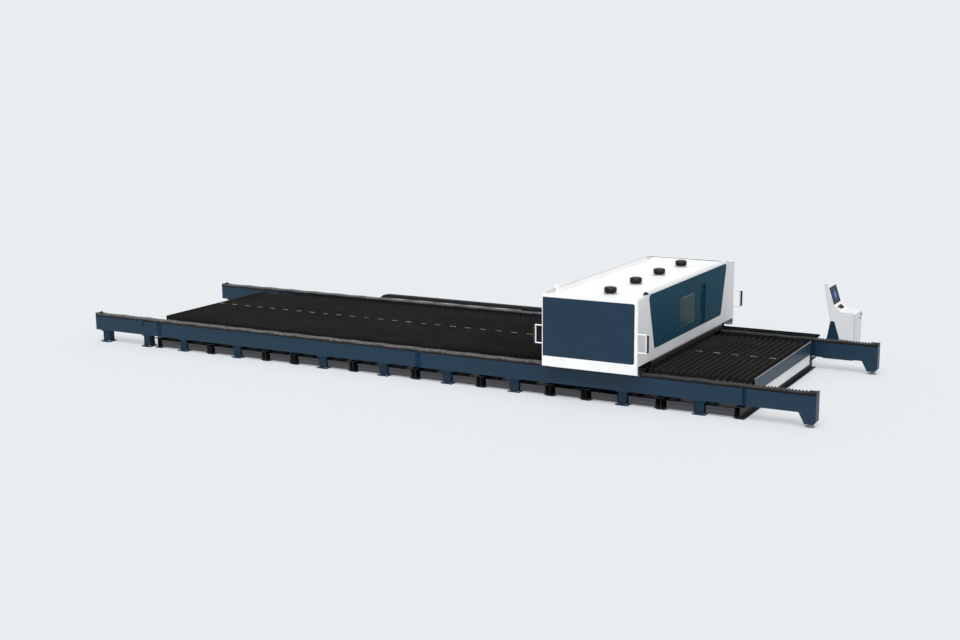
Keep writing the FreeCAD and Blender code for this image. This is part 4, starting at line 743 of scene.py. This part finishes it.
def comb_outline():
    """One slat's outline: up one tooth and down to the next, then back along the bottom."""
    outline = [(slat_high.y, slat_low.z), (slat_low.y, slat_low.z), (slat_low.y, valley)]
    for tooth in range(TEETH):
        start = slat_low.y + tooth * tooth_pitch
        burnt = rng.uniform(0, BURNT)
        if rng.random() < BROKEN_SHARE:
            burnt += BROKEN * rng.random()
        tip = slat_high.z - burnt
        for share, height in ((0.15, valley), (0.465, tip), (0.535, tip), (0.85, valley)):
            outline.append((start + share * tooth_pitch, height))
    return outline + [(slat_high.y, valley)]


combs = Shape()
for index in range(SLATS):
    x = slat_low.x + index * slat_pitch
    combs.plate(comb_outline(), facing_right, x, x + SLAT_THICKNESS)
toothed_slats = combs.made("toothed_slats", "mill_scale_steel")
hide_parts("slats")
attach(toothed_slats, "base")
print("slats:", SLATS, "at", round(slat_pitch, 3), "m, teeth each:", TEETH)

# %% [markdown]
# ### Slat ties
#
# A line of short pale strips runs down the middle of the table. Slats over
# three metres long lean under load, so short zinc-plated ties join them in
# pairs, and each third slat stands free. A tie's thin bar lies between two rows
# of teeth, just below their tips, and a forked foot reaches down over each
# slat. The tie is one outline with its forks, carried a few millimetres along Y.

# %% Ties along the middle
TIE_THICKNESS = 0.008
TIE_EVERY, TIE_SPAN = 3, 2
TIE_BAR, TIE_DEPTH = 0.007, 0.002
FORK_WALL, FORK_LAP = 0.003, 0.006
tie_y = (slat_low.y + slat_high.y) / 2
tie_top = slat_high.z - TIE_DEPTH
bar_bottom, fork_bottom = tie_top - TIE_BAR, valley - FORK_LAP
ties = Shape()
for first in range(0, SLATS - 1, TIE_EVERY):
    outline = []
    for slat in range(TIE_SPAN):
        left = slat_low.x + (first + slat) * slat_pitch
        right = left + SLAT_THICKNESS
        outline += [(left - FORK_WALL, bar_bottom), (left - FORK_WALL, fork_bottom),
                    (left, fork_bottom), (left, valley), (right, valley), (right, fork_bottom),
                    (right + FORK_WALL, fork_bottom), (right + FORK_WALL, bar_bottom)]
    del outline[0], outline[-1]
    outline += [(outline[-1][0], tie_top), (outline[0][0], tie_top)]
    ties.plate(outline, facing_near, tie_y - TIE_THICKNESS / 2, tie_y + TIE_THICKNESS / 2)
slat_ties = ties.made("slat_ties", "zinc_steel", finish="zinc_dark_below")
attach(slat_ties, "base")
print("ties:", len(range(0, SLATS - 1, TIE_EVERY)))

# %% [markdown]
# ## The bellows over the rails
#
# Coated cloth bellows keep dust off the guides. One pair runs from the left end
# of the rails to the housing and one from the housing to the right end, so the
# housing closes one pair as it opens the other. A bellows is a zigzag of
# pleats, folded down over both sides of the beam. Here a U-shaped section is
# carried along the rail and steps out and in at each pleat, and each fold ends
# in a narrow welt. The long left pair lies more open, with shallower folds. The
# cloth sags in long shallow waves between the bars that hold it up.

# %% Pleated bellows
PLEAT = 0.055
WELT = 0.007
CLOTH = 0.004
CORNER = 0.016
COVER_SAG = 0.009
SAG_LENGTH = 0.62


def set_weights(piece, x0, x1, weight_at):
    """Weigh each vertex by its share of the way from x0 to x1."""
    for vertex, weight in zip(piece.data.vertices, piece.data.attributes["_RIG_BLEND"].data):
        weight.value = weight_at((vertex.co.x - x0) / (x1 - x0))


def cover_section(y0, y1, bottom, top, inset):
    """An inverted U with cut corners, outside and then back along the inside."""
    outline = []
    for depth in (inset, inset + CLOTH):
        cut = CORNER - depth * 0.3
        left, right, roof = y0 + depth, y1 - depth, top - depth
        side = [(left, bottom), (left, roof - cut), (left + cut, roof),
                (right - cut, roof), (right, roof - cut), (right, bottom)]
        outline += side if depth == inset else reversed(side)
    return outline


def bellows(name, y0, y1, fixed_x, housing_x, fold):
    bottom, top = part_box("left_bellows")[0].z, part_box("left_bellows")[1].z
    pleats = round(abs(housing_x - fixed_x) / PLEAT)
    pitch = (housing_x - fixed_x) / pleats
    welt = math.copysign(WELT, pitch)
    rings = []
    for pleat in range(pleats):
        start = fixed_x + pleat * pitch
        slack = fold * rng.uniform(0.0, 0.18)
        sag = COVER_SAG * abs(math.sin(math.pi * (start - fixed_x) / SAG_LENGTH))
        peak = start + pitch / 2
        for x, inset in ((start, fold), (peak - welt / 2, slack), (peak + welt / 2, slack)):
            rings.append([(x, y, z) for y, z in cover_section(y0, y1, bottom, top - sag, inset)])
    rings.append([(housing_x, y, z) for y, z in cover_section(y0, y1, bottom, top, fold)])
    cover = Shape()
    cover.skin(rings)
    piece = cover.made(name, "black_fabric")
    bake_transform(piece, "base", "gantry", start=(fixed_x, 0, 0), end=(housing_x, 0, 0))
    set_weights(piece, fixed_x, housing_x, lambda share: share)
    print(name, "pleats:", pleats)
    return piece


COVER_WIDTH = 0.187
for side, fold in (("left", 0.009), ("right", 0.021)):
    low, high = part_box(side + "_bellows")
    fixed_x, housing_x = (low.x, high.x) if side == "left" else (high.x, low.x)
    for rail, y0 in (("near", low.y), ("far", high.y - COVER_WIDTH)):
        y1 = y0 + COVER_WIDTH
        cover = bellows(f"{side}_{rail}_bellows", y0, y1, fixed_x, housing_x, fold)
        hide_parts(side + "_bellows")

# %% [markdown]
# ## The energy chain
#
# Cables, gas and the laser's fibre reach the housing through a chain of nylon
# links, which lies in a tray behind the far rail and rolls over on itself. One
# link is two side plates with a top and a bottom crossbar. The chain rolls, and
# that is what makes it hard to pose: a rigid run would stick out of its loop.
# So both runs stretch a little instead. The lower run is fixed at one end, the
# bend travels half as far as the housing, and the weights of the blend say so.

# %% One link
low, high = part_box("chain_bend")
CHAIN_NEAR, CHAIN_FAR = low.y, high.y
LINK_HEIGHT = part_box("chain_lower_run")[1].z - low.z
CHAIN_CENTRE = (low.z + high.z) / 2
BEND_RADIUS = (high.z - low.z - LINK_HEIGHT) / 2
bend_x = high.x
LINK_PITCH = 0.066
LINK_PLATE = 0.011
PLATE_LAP = 0.009
TUCK = 0.0035
CROSSBAR_HALF, CROSSBAR_HEIGHT, CROSSBAR_INSET = 0.014, 0.007, 0.002


def link(chain, centre, way, pitch, step):
    """Two side plates with round ends and two crossbars, along the unit vector way (x, z)."""
    across = (-way[1], way[0])

    def place(a, b, along):
        x, z = (centre[i] + way[i] * a + across[i] * b for i in (0, 1))
        return x, along, z

    half = LINK_HEIGHT / 2
    tuck = TUCK if step % 2 else 0.0
    reach = pitch / 2 + PLATE_LAP
    outline = rounded(-reach, -half, reach, half, half * 0.72, 3)
    for y0 in (CHAIN_NEAR + tuck, CHAIN_FAR - tuck - LINK_PLATE):
        chain.plate(outline, place, y0, y0 + LINK_PLATE)
    for b in (half - CROSSBAR_INSET - CROSSBAR_HEIGHT, CROSSBAR_INSET - half):
        bar = rounded(-CROSSBAR_HALF, b, CROSSBAR_HALF, b + CROSSBAR_HEIGHT, 0.003, 2)
        chain.plate(bar, place, CHAIN_NEAR + LINK_PLATE, CHAIN_FAR - LINK_PLATE)


def run(name, node, x0, x1, z, weight_at):
    """A straight run of links that stretches between the base and the gantry."""
    chain = Shape()
    count = round((x1 - x0) / LINK_PITCH)
    pitch = (x1 - x0) / count
    for step in range(count):
        end_trim = PLATE_LAP if step in (0, count - 1) else 0
        link(chain, (x0 + (step + 0.5) * pitch, z), (1, 0), pitch - 2 * end_trim, step)
    piece = chain.made(name, "chain_plastic")
    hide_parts(node)
    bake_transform(piece, "base", "gantry", start=(x0, 0, 0), end=(x1, 0, 0))
    set_weights(piece, x0, x1, weight_at)
    print(name, "links:", count)


# %% Two runs and the bend
upper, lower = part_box("chain_upper_run"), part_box("chain_lower_run")
run("chain_upper_links", "chain_upper_run", bend_x, upper[1].x,
    (upper[0].z + upper[1].z) / 2, lambda share: 0.5 + 0.5 * share)
run("chain_lower_links", "chain_lower_run", bend_x, lower[1].x,
    (lower[0].z + lower[1].z) / 2, lambda share: 0.5 - 0.5 * share)

BEND_LINKS = 5
half_turn = math.pi / 2 / BEND_LINKS
chord, reach = 2 * BEND_RADIUS * math.sin(half_turn), BEND_RADIUS * math.cos(half_turn)
roll = Shape()
for step in range(BEND_LINKS):
    angle = math.pi * (step + 0.5) / BEND_LINKS
    centre = (bend_x - reach * math.sin(angle), CHAIN_CENTRE - reach * math.cos(angle))
    link(roll, centre, (-math.cos(angle), math.sin(angle)), chord - PLATE_LAP, step)
chain_roll = roll.made("chain_bend_links", "chain_plastic")
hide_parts("chain_bend")
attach(chain_roll, "chain_loop")
print("links in the bend:", BEND_LINKS)

# %% [markdown]
# ## On the moving housing
#
# The housing is white sheet steel with navy panels, and its CAD shape stays.
# What it lacks is bought-in hardware: four roof ventilators, four bumper
# handles that stop the drive when someone pushes them, the rubber round the
# window, and brushes that keep sparks in. A ventilator is a turned part, so its
# half profile goes once round. All of these ride on the gantry, and the
# window's rubber rides on the sliding door.

# %% Roof ventilators
VENT_MIDDLES = [(3.742, y) for y in (-2.099, -0.999, 0.101, 1.201)]
VENT_RIBS, VENT_SIDES = 14, 40
# Profiles are points of (radius, height) in metres.
FLASHING = ((0.112, 0.0), (0.112, 0.012), (0.104, 0.018), (0.060, 0.020), (0.060, 0.0))
CAP = ((0.070, 0.018), (0.070, 0.034), (0.098, 0.037), (0.098, 0.043), (0.074, 0.047),
       (0.074, 0.053), (0.104, 0.056), (0.104, 0.062), (0.078, 0.066), (0.078, 0.071),
       (0.108, 0.075), (0.110, 0.079), (0.110, 0.096), (0.105, 0.109), (0.090, 0.120),
       (0.064, 0.127), (0.030, 0.129))
# A rib's plan is points of (distance from the middle, distance to its side).
RIB = ((0.060, -0.0035), (0.106, -0.0035), (0.106, 0.0035), (0.060, 0.0035))
RIB_LEVELS = (0.036, 0.077)
roof_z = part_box("roof_vents")[0].z
caps, flashings = Shape(), Shape()
for x, y in VENT_MIDDLES:
    foot = Vector((x, y, roof_z))
    flashings.turned(FLASHING, foot, sides=VENT_SIDES, looped=True)
    caps.turned(CAP, foot, sides=VENT_SIDES)
    for rib in range(VENT_RIBS):
        angle = 2 * math.pi * rib / VENT_RIBS
        way = Vector((math.cos(angle), math.sin(angle), 0))
        side = Vector((-way.y, way.x, 0))
        caps.skin([[foot + way * reach + side * half + Vector((0, 0, z)) for reach, half in RIB]
                   for z in RIB_LEVELS])
vent_caps = caps.made("vent_caps", "black_plastic", smooth=True, finish="gloss_plastic")
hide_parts("roof_vents")
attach(vent_caps, "gantry")
vent_flashings = flashings.made("vent_flashings", "zinc_steel", edge=0.001)
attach(vent_flashings, "gantry")
print("ventilators:", len(VENT_MIDDLES))

# %% [markdown]
# ### Bumper handles
#
# A white tube bracket stands out from the face, and a thick black rubber grip
# is pinned in front of it. The bracket is a rod carried along a path of four
# points with mitred corners, and the grip is turned. The same pair stands at
# all four corners of the housing.

# %% Brackets and grips
handle_low, handle_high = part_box("bumper_handles")
front_x, back_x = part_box("face_frames")[1].x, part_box("face_frames")[0].x
BRACKET_OUT, TUBE = 0.138, 0.011
BRACKET_INSET_Y, BRACKET_INSET_Z = 0.018, 0.014
WALL_RING = ((0.0175, 0), (0.0175, 0.004), (0.012, 0.007))
GRIP_RADIUS, GRIP_LENGTH = 0.0185, 0.288
PIN, PIN_INSET, PIN_LAP = 0.011, 0.016, 0.012
GRIP_OUT = handle_high.x - front_x - GRIP_RADIUS
grip_end = [(0.010, 0), (GRIP_RADIUS, 0.006), (GRIP_RADIUS, 0.014), (GRIP_RADIUS - 0.002, 0.018)]
grip_profile = grip_end + [(radius, GRIP_LENGTH - height) for radius, height in reversed(grip_end)]
brackets, grips = Shape(), Shape()
z0, z1 = handle_low.z + BRACKET_INSET_Z, handle_high.z - BRACKET_INSET_Z
for wall, way in ((front_x, 1), (back_x, -1)):
    bracket_x, grip_x = wall + way * BRACKET_OUT, wall + way * GRIP_OUT
    for y in (handle_low.y + BRACKET_INSET_Y, handle_high.y - BRACKET_INSET_Y):
        brackets.rod([(wall, y, z1), (bracket_x, y, z1), (bracket_x, y, z0), (wall, y, z0)],
                     TUBE, 16)
        for z in (z0, z1):
            brackets.turned(WALL_RING, (wall, y, z), (way, 0, 0), 20)
        for z in (z0 + PIN_INSET, z1 - PIN_INSET):
            grips.rod([(bracket_x - way * PIN_LAP, y, z), (grip_x, y, z)], PIN)
        grips.turned(grip_profile, (grip_x, y, z0 + 0.007), sides=24)
handle_brackets = brackets.made("handle_brackets", "white_paint", smooth=True)
handle_grips = grips.made("handle_grips", "black_plastic", smooth=True)
for piece in (handle_brackets, handle_grips):
    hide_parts("bumper_handles")
    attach(piece, "gantry")
print("handle stands out of the face by", round(handle_high.x - front_x, 3))

# %% [markdown]
# ### Window rubber and edge caps
#
# Black rubber grips the edge of the filter glass, and black plugs close the open
# ends of the round trim on the operator's side; their black is painted shade, for
# the shadow at the trim's ends. White ones close the other trim down to the roof,
# and a folded white strip fills the gap between each trim and the roof. The
# rubber is a closed ring of four outlines, joined one after the other and back
# to the first. It lies flush with the door, because the door slides behind the
# fascia with little room.

# %% Rubber and plugs
RUBBER_OUT, RUBBER_IN = 0.012, 0.008
RUBBER_CORNER = 0.022
FLUSH = 0.0002
door_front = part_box("sliding_door")[1].x


def seen_from_right(low, high, grow, radius):
    """A box's outline along X, grown on all sides, with round corners."""
    return rounded(low.y - grow, low.z - grow, high.y + grow, high.z + grow, radius)


rubber = Shape()
rubber.ring(seen_from_right(*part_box("door_window"), RUBBER_OUT, RUBBER_CORNER + 0.020),
            seen_from_right(*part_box("door_window"), -RUBBER_IN, RUBBER_CORNER),
            facing_right, door_front - 0.004, door_front + FLUSH, door_front + FLUSH)
window_rubber = rubber.made("window_rubber", "black_plastic")
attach(window_rubber, "access_door")

ROLL_RADIUS = 0.048
PLUG_RADIUS, PLUG_LENGTH = ROLL_RADIUS - 0.0005, 0.007
roll_y0, roll_y1 = -2.379, 1.481
roll_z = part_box("face_frames")[1].z - ROLL_RADIUS
plugs, white_plugs = Shape(), Shape()
for shape, middle in ((plugs, front_x - ROLL_RADIUS), (white_plugs, back_x + ROLL_RADIUS)):
    half = [(middle + PLUG_RADIUS * math.cos(math.pi * step / 16),
             roll_z + PLUG_RADIUS * math.sin(math.pi * step / 16)) for step in range(17)]
    if shape is white_plugs:
        half += [(middle - ROLL_RADIUS, roof_z), (middle + ROLL_RADIUS, roof_z)]
    for start, end in ((roll_y0 - PLUG_LENGTH, roll_y0 - FLUSH),
                       (roll_y1 + FLUSH, roll_y1 + PLUG_LENGTH)):
        shape.plate(half, facing_near, start, end)
# The black of the front plugs is painted shade, for the shadow at the ends of the front trim.
front_trim_plugs = plugs.made("front_trim_plugs", "black_plastic", edge=0.0015)
back_trim_plugs = white_plugs.made("back_trim_plugs", "white_paint", edge=0.0015)
for piece in (front_trim_plugs, back_trim_plugs):
    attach(piece, "gantry")

# %% Folded strips under the trim
FOLD, FOOT = 0.0015, 0.030
strips_under_trim = Shape()
for edge_x, way in ((front_x - 2 * ROLL_RADIUS, 1), (back_x + 2 * ROLL_RADIUS, -1)):
    toe_x, inner_x = edge_x - way * FOOT, edge_x - way * FOLD
    angle = [(edge_x, roll_z), (edge_x, roof_z), (toe_x, roof_z), (toe_x, roof_z + FOLD),
             (inner_x, roof_z + FOLD), (inner_x, roll_z)]
    strips_under_trim.plate(angle, facing_near, roll_y0, roll_y1)
trim_flashing = strips_under_trim.made("trim_flashing", "white_paint")
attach(trim_flashing, "gantry")
print("height of the strip under the trim:", round(roll_z - roof_z, 3))

# %% [markdown]
# ### Brushes under the faces
#
# A row of stiff black bristles hangs from each face down to the slats, and it
# lets the housing pass over a sheet without a gap for sparks. Each tuft is a
# thin tapered prism, and its length and lean vary a little.

# %% Bristles
TUFT, TUFT_ROOT, TUFT_TIP = 0.0085, 0.0042, 0.0026
STRIP_HEIGHT, STRIP_THICKNESS = 0.024, 0.012
brush_low, brush_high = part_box("brush_curtains")
strip_bottom = brush_high.z - STRIP_HEIGHT
tufts = int((brush_high.y - brush_low.y) / TUFT)
tuft_pitch = (brush_high.y - brush_low.y) / tufts
bristles, strips = Shape(), Shape()
for x0 in (brush_low.x, brush_high.x - STRIP_THICKNESS):
    strips.block((x0, brush_low.y, strip_bottom),
                 (x0 + STRIP_THICKNESS, brush_high.y, brush_high.z))
    for tuft in range(tufts):
        x, y = x0 + STRIP_THICKNESS / 2, brush_low.y + (tuft + 0.5) * tuft_pitch
        lean_x, lean_y = rng.uniform(-0.0015, 0.0015), rng.uniform(-0.004, 0.004)
        bottom = brush_low.z + rng.uniform(0.0, 0.006)
        bristles.skin([[(x + lean_x * share + a * half * 0.9, y + lean_y * share + b * half, z)
                        for a, b in ((-1, -1), (1, -1), (1, 1), (-1, 1))]
                       for z, half, share in ((strip_bottom + 0.002, TUFT_ROOT, 0),
                                              (bottom, TUFT_TIP, 1))])
brush_bristles = bristles.made("brush_bristles", "black_fabric")
brush_strips = strips.made("brush_strips", "zinc_steel", edge=0.0015)
for piece in (brush_bristles, brush_strips):
    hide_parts("brush_curtains")
    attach(piece, "gantry")
print("tufts:", 2 * tufts)

# %% [markdown]
# ## Bolts on rails and legs
#
# The rails come in lengths that a lorry can carry. A splice plate covers each
# joint. Eight bolts hold it, or four under the chain's tray, where it is low.
# Each leg's base plate is bolted to the floor, with low countersunk bolts where
# a drawer passes over them. The mesh of the legs says where the base plates
# are: points that are joined by edges belong to one leg, so a short search
# finds each leg's box.

# %% Find the separate solids of a node
def corners(points):
    """The lowest and the highest corner of the box around some points."""
    return [Vector(end(point[i] for point in points) for i in range(3)) for end in (min, max)]


def solids_of(node):
    """The corners of every separate solid in a CAD node, and its levels in z."""
    work = bmesh.new()
    work.from_mesh(frame["nodes"][node].data)
    bmesh.ops.remove_doubles(work, verts=work.verts, dist=1e-5)
    left, boxes = set(work.verts), []
    while left:
        front, group = [left.pop()], []
        while front:
            point = front.pop()
            group.append(point.co.copy())
            for edge in point.link_edges:
                other = edge.other_vert(point)
                if other in left:
                    left.remove(other)
                    front.append(other)
        boxes.append((*corners(group), sorted({round(point.z, 4) for point in group})))
    work.free()
    return sorted(boxes, key=lambda found: (round(found[0].x, 3), found[0].y))


leg_boxes = solids_of("rail_legs")
print("legs:", len(leg_boxes), "base plate:", leg_boxes[0][2][1])


# %% A hex bolt
# Profiles are points of (radius, height) in diameters of the thread.
WASHER = ((1.15, 0.0), (1.15, 0.16))
HEXAGON = ((0.8648, 0.16), (0.92, 0.24), (0.92, 0.65), (0.7912, 0.75))
STUD = ((0.46, 0.70), (0.46, 1.07), (0.38, 1.15))


def hex_bolt(shape, place, axis, size, turn=0.0):
    """A washer, a chamfered hexagon head and a stud's end; size is the thread's diameter."""
    for profile, sides, start in ((WASHER, 20, 0.0), (HEXAGON, 6, turn), (STUD, 12, 0.0)):
        shape.turned([(radius * size, height * size) for radius, height in profile],
                     place, axis, sides, turn=start)


# %% Anchor bolts on the base plates
ANCHOR, ANCHOR_INSET = 0.016, 0.028
COUNTERSUNK = ((ANCHOR, 0), (ANCHOR * 0.9, 0.003), (ANCHOR * 0.4, 0.0035))
drawers = [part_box(node) for node in frame["nodes"] if node.startswith("slag_drawer_")]
drawer_spans = [(low.x - ANCHOR * 2, high.x + ANCHOR * 2) for low, high in drawers]
anchors = Shape()
for low, high, levels in leg_boxes:
    for x in (low.x + ANCHOR_INSET, high.x - ANCHOR_INSET):
        for y in (low.y + ANCHOR_INSET, high.y - ANCHOR_INSET):
            turn = rng.uniform(0, 1)
            if y < 0 and any(start < x < end for start, end in drawer_spans):
                anchors.turned(COUNTERSUNK, (x, y, levels[1]), sides=20)
            else:
                hex_bolt(anchors, (x, y, levels[1]), (0, 0, 1), ANCHOR, turn)
anchor_bolts = anchors.made("anchor_bolts", "zinc_steel")
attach(anchor_bolts, "base")
print("anchor bolts:", 4 * len(leg_boxes))

# %% Splice plates at the beam joints
# Each joint has its place along the rails and the width of its plate.
JOINTS = ((-5.725, 0.106), (0.275, 0.106), (6.275, 0.046))
SPLICE, SPLICE_BOLT = 0.004, 0.010
BEAM_BOTTOM, NEAR_FACE = 0.236, -2.629
beam_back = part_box("far_rail")[1]
# Each outer face has its place, its way out, its plates' top and its bolts' heights.
FACES = ((NEAR_FACE, -1, beam_back.z - 0.006, (0.275, 0.325, 0.405, 0.470)),
         (beam_back.y, 1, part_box("chain_tray")[0].z - 0.004, (0.265, 0.315)))
splices, splice_bolts = Shape(), Shape()
for x, width in JOINTS:
    for face, way, plate_top, bolt_levels in FACES:
        front = face + way * SPLICE
        outline = rounded(x - width / 2, BEAM_BOTTOM + 0.002, x + width / 2, plate_top, 0.006, 3)
        splices.plate(outline, facing_near, face - way * 0.002, front)
        for z in bolt_levels:
            for side in (-0.3, 0.3):
                hex_bolt(splice_bolts, (x + side * width, front, z), (0, way, 0), SPLICE_BOLT)
splice_plates = splices.made("splice_plates", "navy_paint", edge=0.001, finish="splice_paint")
bolts_on_splices = splice_bolts.made("splice_bolts", "navy_paint", finish="splice_paint")
for piece in (splice_plates, bolts_on_splices):
    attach(piece, "base")
print("splice plates:", 2 * len(JOINTS))

# %% [markdown]
# ## The operator's console
#
# The console is a white cabinet on a leaning foot. Its screen is part of the
# CAD model and only needs its finish. The keypad is a dark membrane with raised
# keys on the sloping desk, and a bezel frames the screen. Both slopes are flat,
# so one small class turns a place on a slope into x, y and z. The cabinet's door
# gets a rounded lever and a key lock.

# %% The two slopes
class Slope:
    """A flat sloping face that looks towards +X: a runs along Y and b up the slope."""

    def __init__(self, foot, top):
        self.foot = Vector((foot[0], 0, foot[1]))
        self.up = Vector((top[0], 0, top[1])) - self.foot
        self.length = self.up.length
        self.up.normalize()
        self.out = Vector((self.up.z, 0, -self.up.x))

    def place(self, a, b, along):
        return self.foot + self.up * b + self.out * along + Vector((0, a, 0))


screen_low, screen_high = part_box("console_screen")
# Each slope is given by its lower and its upper edge, as (x, z).
screen_slope = Slope((6.3420, 1.0373), (6.2433, 1.3410))
desk_slope = Slope((6.4950, 0.9030), (6.3470, 1.0220))
lean = math.degrees(math.asin(screen_slope.out.z))
print("screen leans by", round(lean, 1), "degrees")

# %% Screen bezel
BEZEL, BEZEL_OUT = 0.010, 0.004
y0, y1, length = screen_low.y, screen_high.y, screen_slope.length
outer = rounded(y0 - BEZEL_OUT, -BEZEL_OUT, y1 + BEZEL_OUT, length + BEZEL_OUT, 0.010)
inner = rounded(y0 + BEZEL, BEZEL, y1 - BEZEL, length - BEZEL, 0.006)
bezel = Shape()
bezel.ring(outer, inner, screen_slope.place, -0.003, 0.004, 0.0025)
screen_bezel = bezel.made("screen_bezel", "black_plastic", edge=0.0008, finish="keypad_black")
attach(screen_bezel, "base")

# %% Keypad
KEY_ROWS, KEY_COLUMNS = 3, 9
KEY, KEY_GAP = 0.019, 0.008
KEY_STEP = KEY + KEY_GAP
pad_y0, pad_b0 = 2.478, 0.058
pad_width, pad_height = KEY_COLUMNS * KEY_STEP + KEY_GAP, KEY_ROWS * KEY_STEP + KEY_GAP
membrane, keys = Shape(), Shape()
membrane.plate(rounded(pad_y0, pad_b0, pad_y0 + pad_width, pad_b0 + pad_height, 0.006),
               desk_slope.place, -0.001, 0.002)
for row in range(KEY_ROWS):
    for column in range(KEY_COLUMNS):
        a, b = pad_y0 + KEY_GAP + column * KEY_STEP, pad_b0 + KEY_GAP + row * KEY_STEP
        keys.plate(rounded(a, b, a + KEY, b + KEY, 0.004, 3), desk_slope.place, 0.0015, 0.0048)
keypad_membrane = membrane.made("keypad_membrane", "black_plastic", edge=0.0006)
keypad_keys = keys.made("keypad_keys", "black_plastic", edge=0.0008, finish="keypad_black")
for piece in (keypad_membrane, keypad_keys):
    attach(piece, "base")
print("keys:", KEY_ROWS * KEY_COLUMNS)

# %% Cabinet lock
LEVER_SWELL, LEVER_DEPTH = 0.0015, 0.012
HUB = ((0.019, 0), (0.019, 0.008), (0.015, 0.012))
KEY_LOCK = ((0.013, 0), (0.013, 0.016), (0.011, 0.018), (0.004, 0.018))
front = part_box("console_door")[1].x - 0.002
points = [vertex.co for vertex in frame["nodes"]["console_door"].data.vertices]
lever_low, lever_high = corners([point for point in points if point.x > front])
lever = Shape()
lever.plate(seen_from_right(lever_low, lever_high, LEVER_SWELL, 0.010), facing_right,
            lever_low.x - LEVER_DEPTH, lever_low.x + LEVER_SWELL)
back = lever_low.x - 0.020
hub = (back, lever_high.y - 0.012, (lever_low.z + lever_high.z) / 2)
lever.turned(HUB, hub, (1, 0, 0), 24)
lever.turned(KEY_LOCK, (back, lever_low.y - 0.020, lever_low.z - 0.060), (1, 0, 0), 20)
cabinet_lock = lever.made("cabinet_lock", "black_plastic", edge=0.001)
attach(cabinet_lock, "console_door_leaf")
print("lever:", [round(v, 4) for v in lever_low], [round(v, 4) for v in lever_high])

# %% [markdown]
# ## Floor, backdrop and light
#
# A product photograph is lit softly from all round, on a pale floor that runs
# out of sight. The floor takes the machine's shadow. To the camera, and in
# reflections, part of its brightness is its own, so that it stays pale while
# the lamps stay at a plain level. The world does the same for the backdrop.

# %% Floor
FLOOR_COLOUR = (0.718, 0.746, 0.764, 1)
FLOOR_GLOW, FLOOR_REACH = 0.5, 90.0
ground = Finish("studio_floor", Base_Color=FLOOR_COLOUR, Roughness=0.9, Specular_IOR_Level=0.1)
glow = ground.node("Emission", inputs={"Color": FLOOR_COLOUR})
share = ground.seen_by("Camera", "Glossy", "Transmission") * FLOOR_GLOW
ground.show("Material Output", share, Wire(ground, ground.shader.outputs[0]), glow)
bpy.ops.mesh.primitive_plane_add(size=2 * FLOOR_REACH, location=(0, 0, 0))
floor = bpy.context.object
floor.name = "studio_floor"
floor.data.materials.append(ground.material)

# %% World and lamps
world = bpy.data.worlds.new("studio")
world.use_nodes = True
bpy.context.scene.world = world
sky = Nodes(world.node_tree)
fill = world.node_tree.nodes["Background"]
fill.inputs["Color"].default_value = (0.97, 0.985, 1.0, 1)
fill.inputs["Strength"].default_value = 0.66
backdrop = sky.node("Background", inputs={"Color": (0.823, 0.854, 0.878, 1), "Strength": 1.0})
direct = sky.seen_by("Camera", "Transmission")
sky.show("World Output", direct, Wire(sky, fill.outputs[0]), backdrop)


def sun(name, strength, softness, azimuth, elevation):
    """A lamp far away; azimuth 0 shines from the front and 90 from the right."""
    lamp = bpy.data.lights.new(name, "SUN")
    lamp.energy = strength
    lamp.angle = math.radians(softness)
    one = bpy.data.objects.new(name, lamp)
    turn, rise = math.radians(azimuth), math.radians(elevation)
    source = Vector((math.sin(turn) * math.cos(rise), -math.cos(turn) * math.cos(rise),
                     math.sin(rise)))
    one.rotation_mode = "QUATERNION"
    one.rotation_quaternion = source.to_track_quat("Z", "Y")
    bpy.context.scene.collection.objects.link(one)


sun("key_sun", strength=2.05, softness=40, azimuth=14, elevation=60)
sun("side_sun", strength=0.4, softness=60, azimuth=75, elevation=35)
bpy.context.scene.view_settings.view_transform = "Standard"
print("lamps:", len(bpy.data.lights))
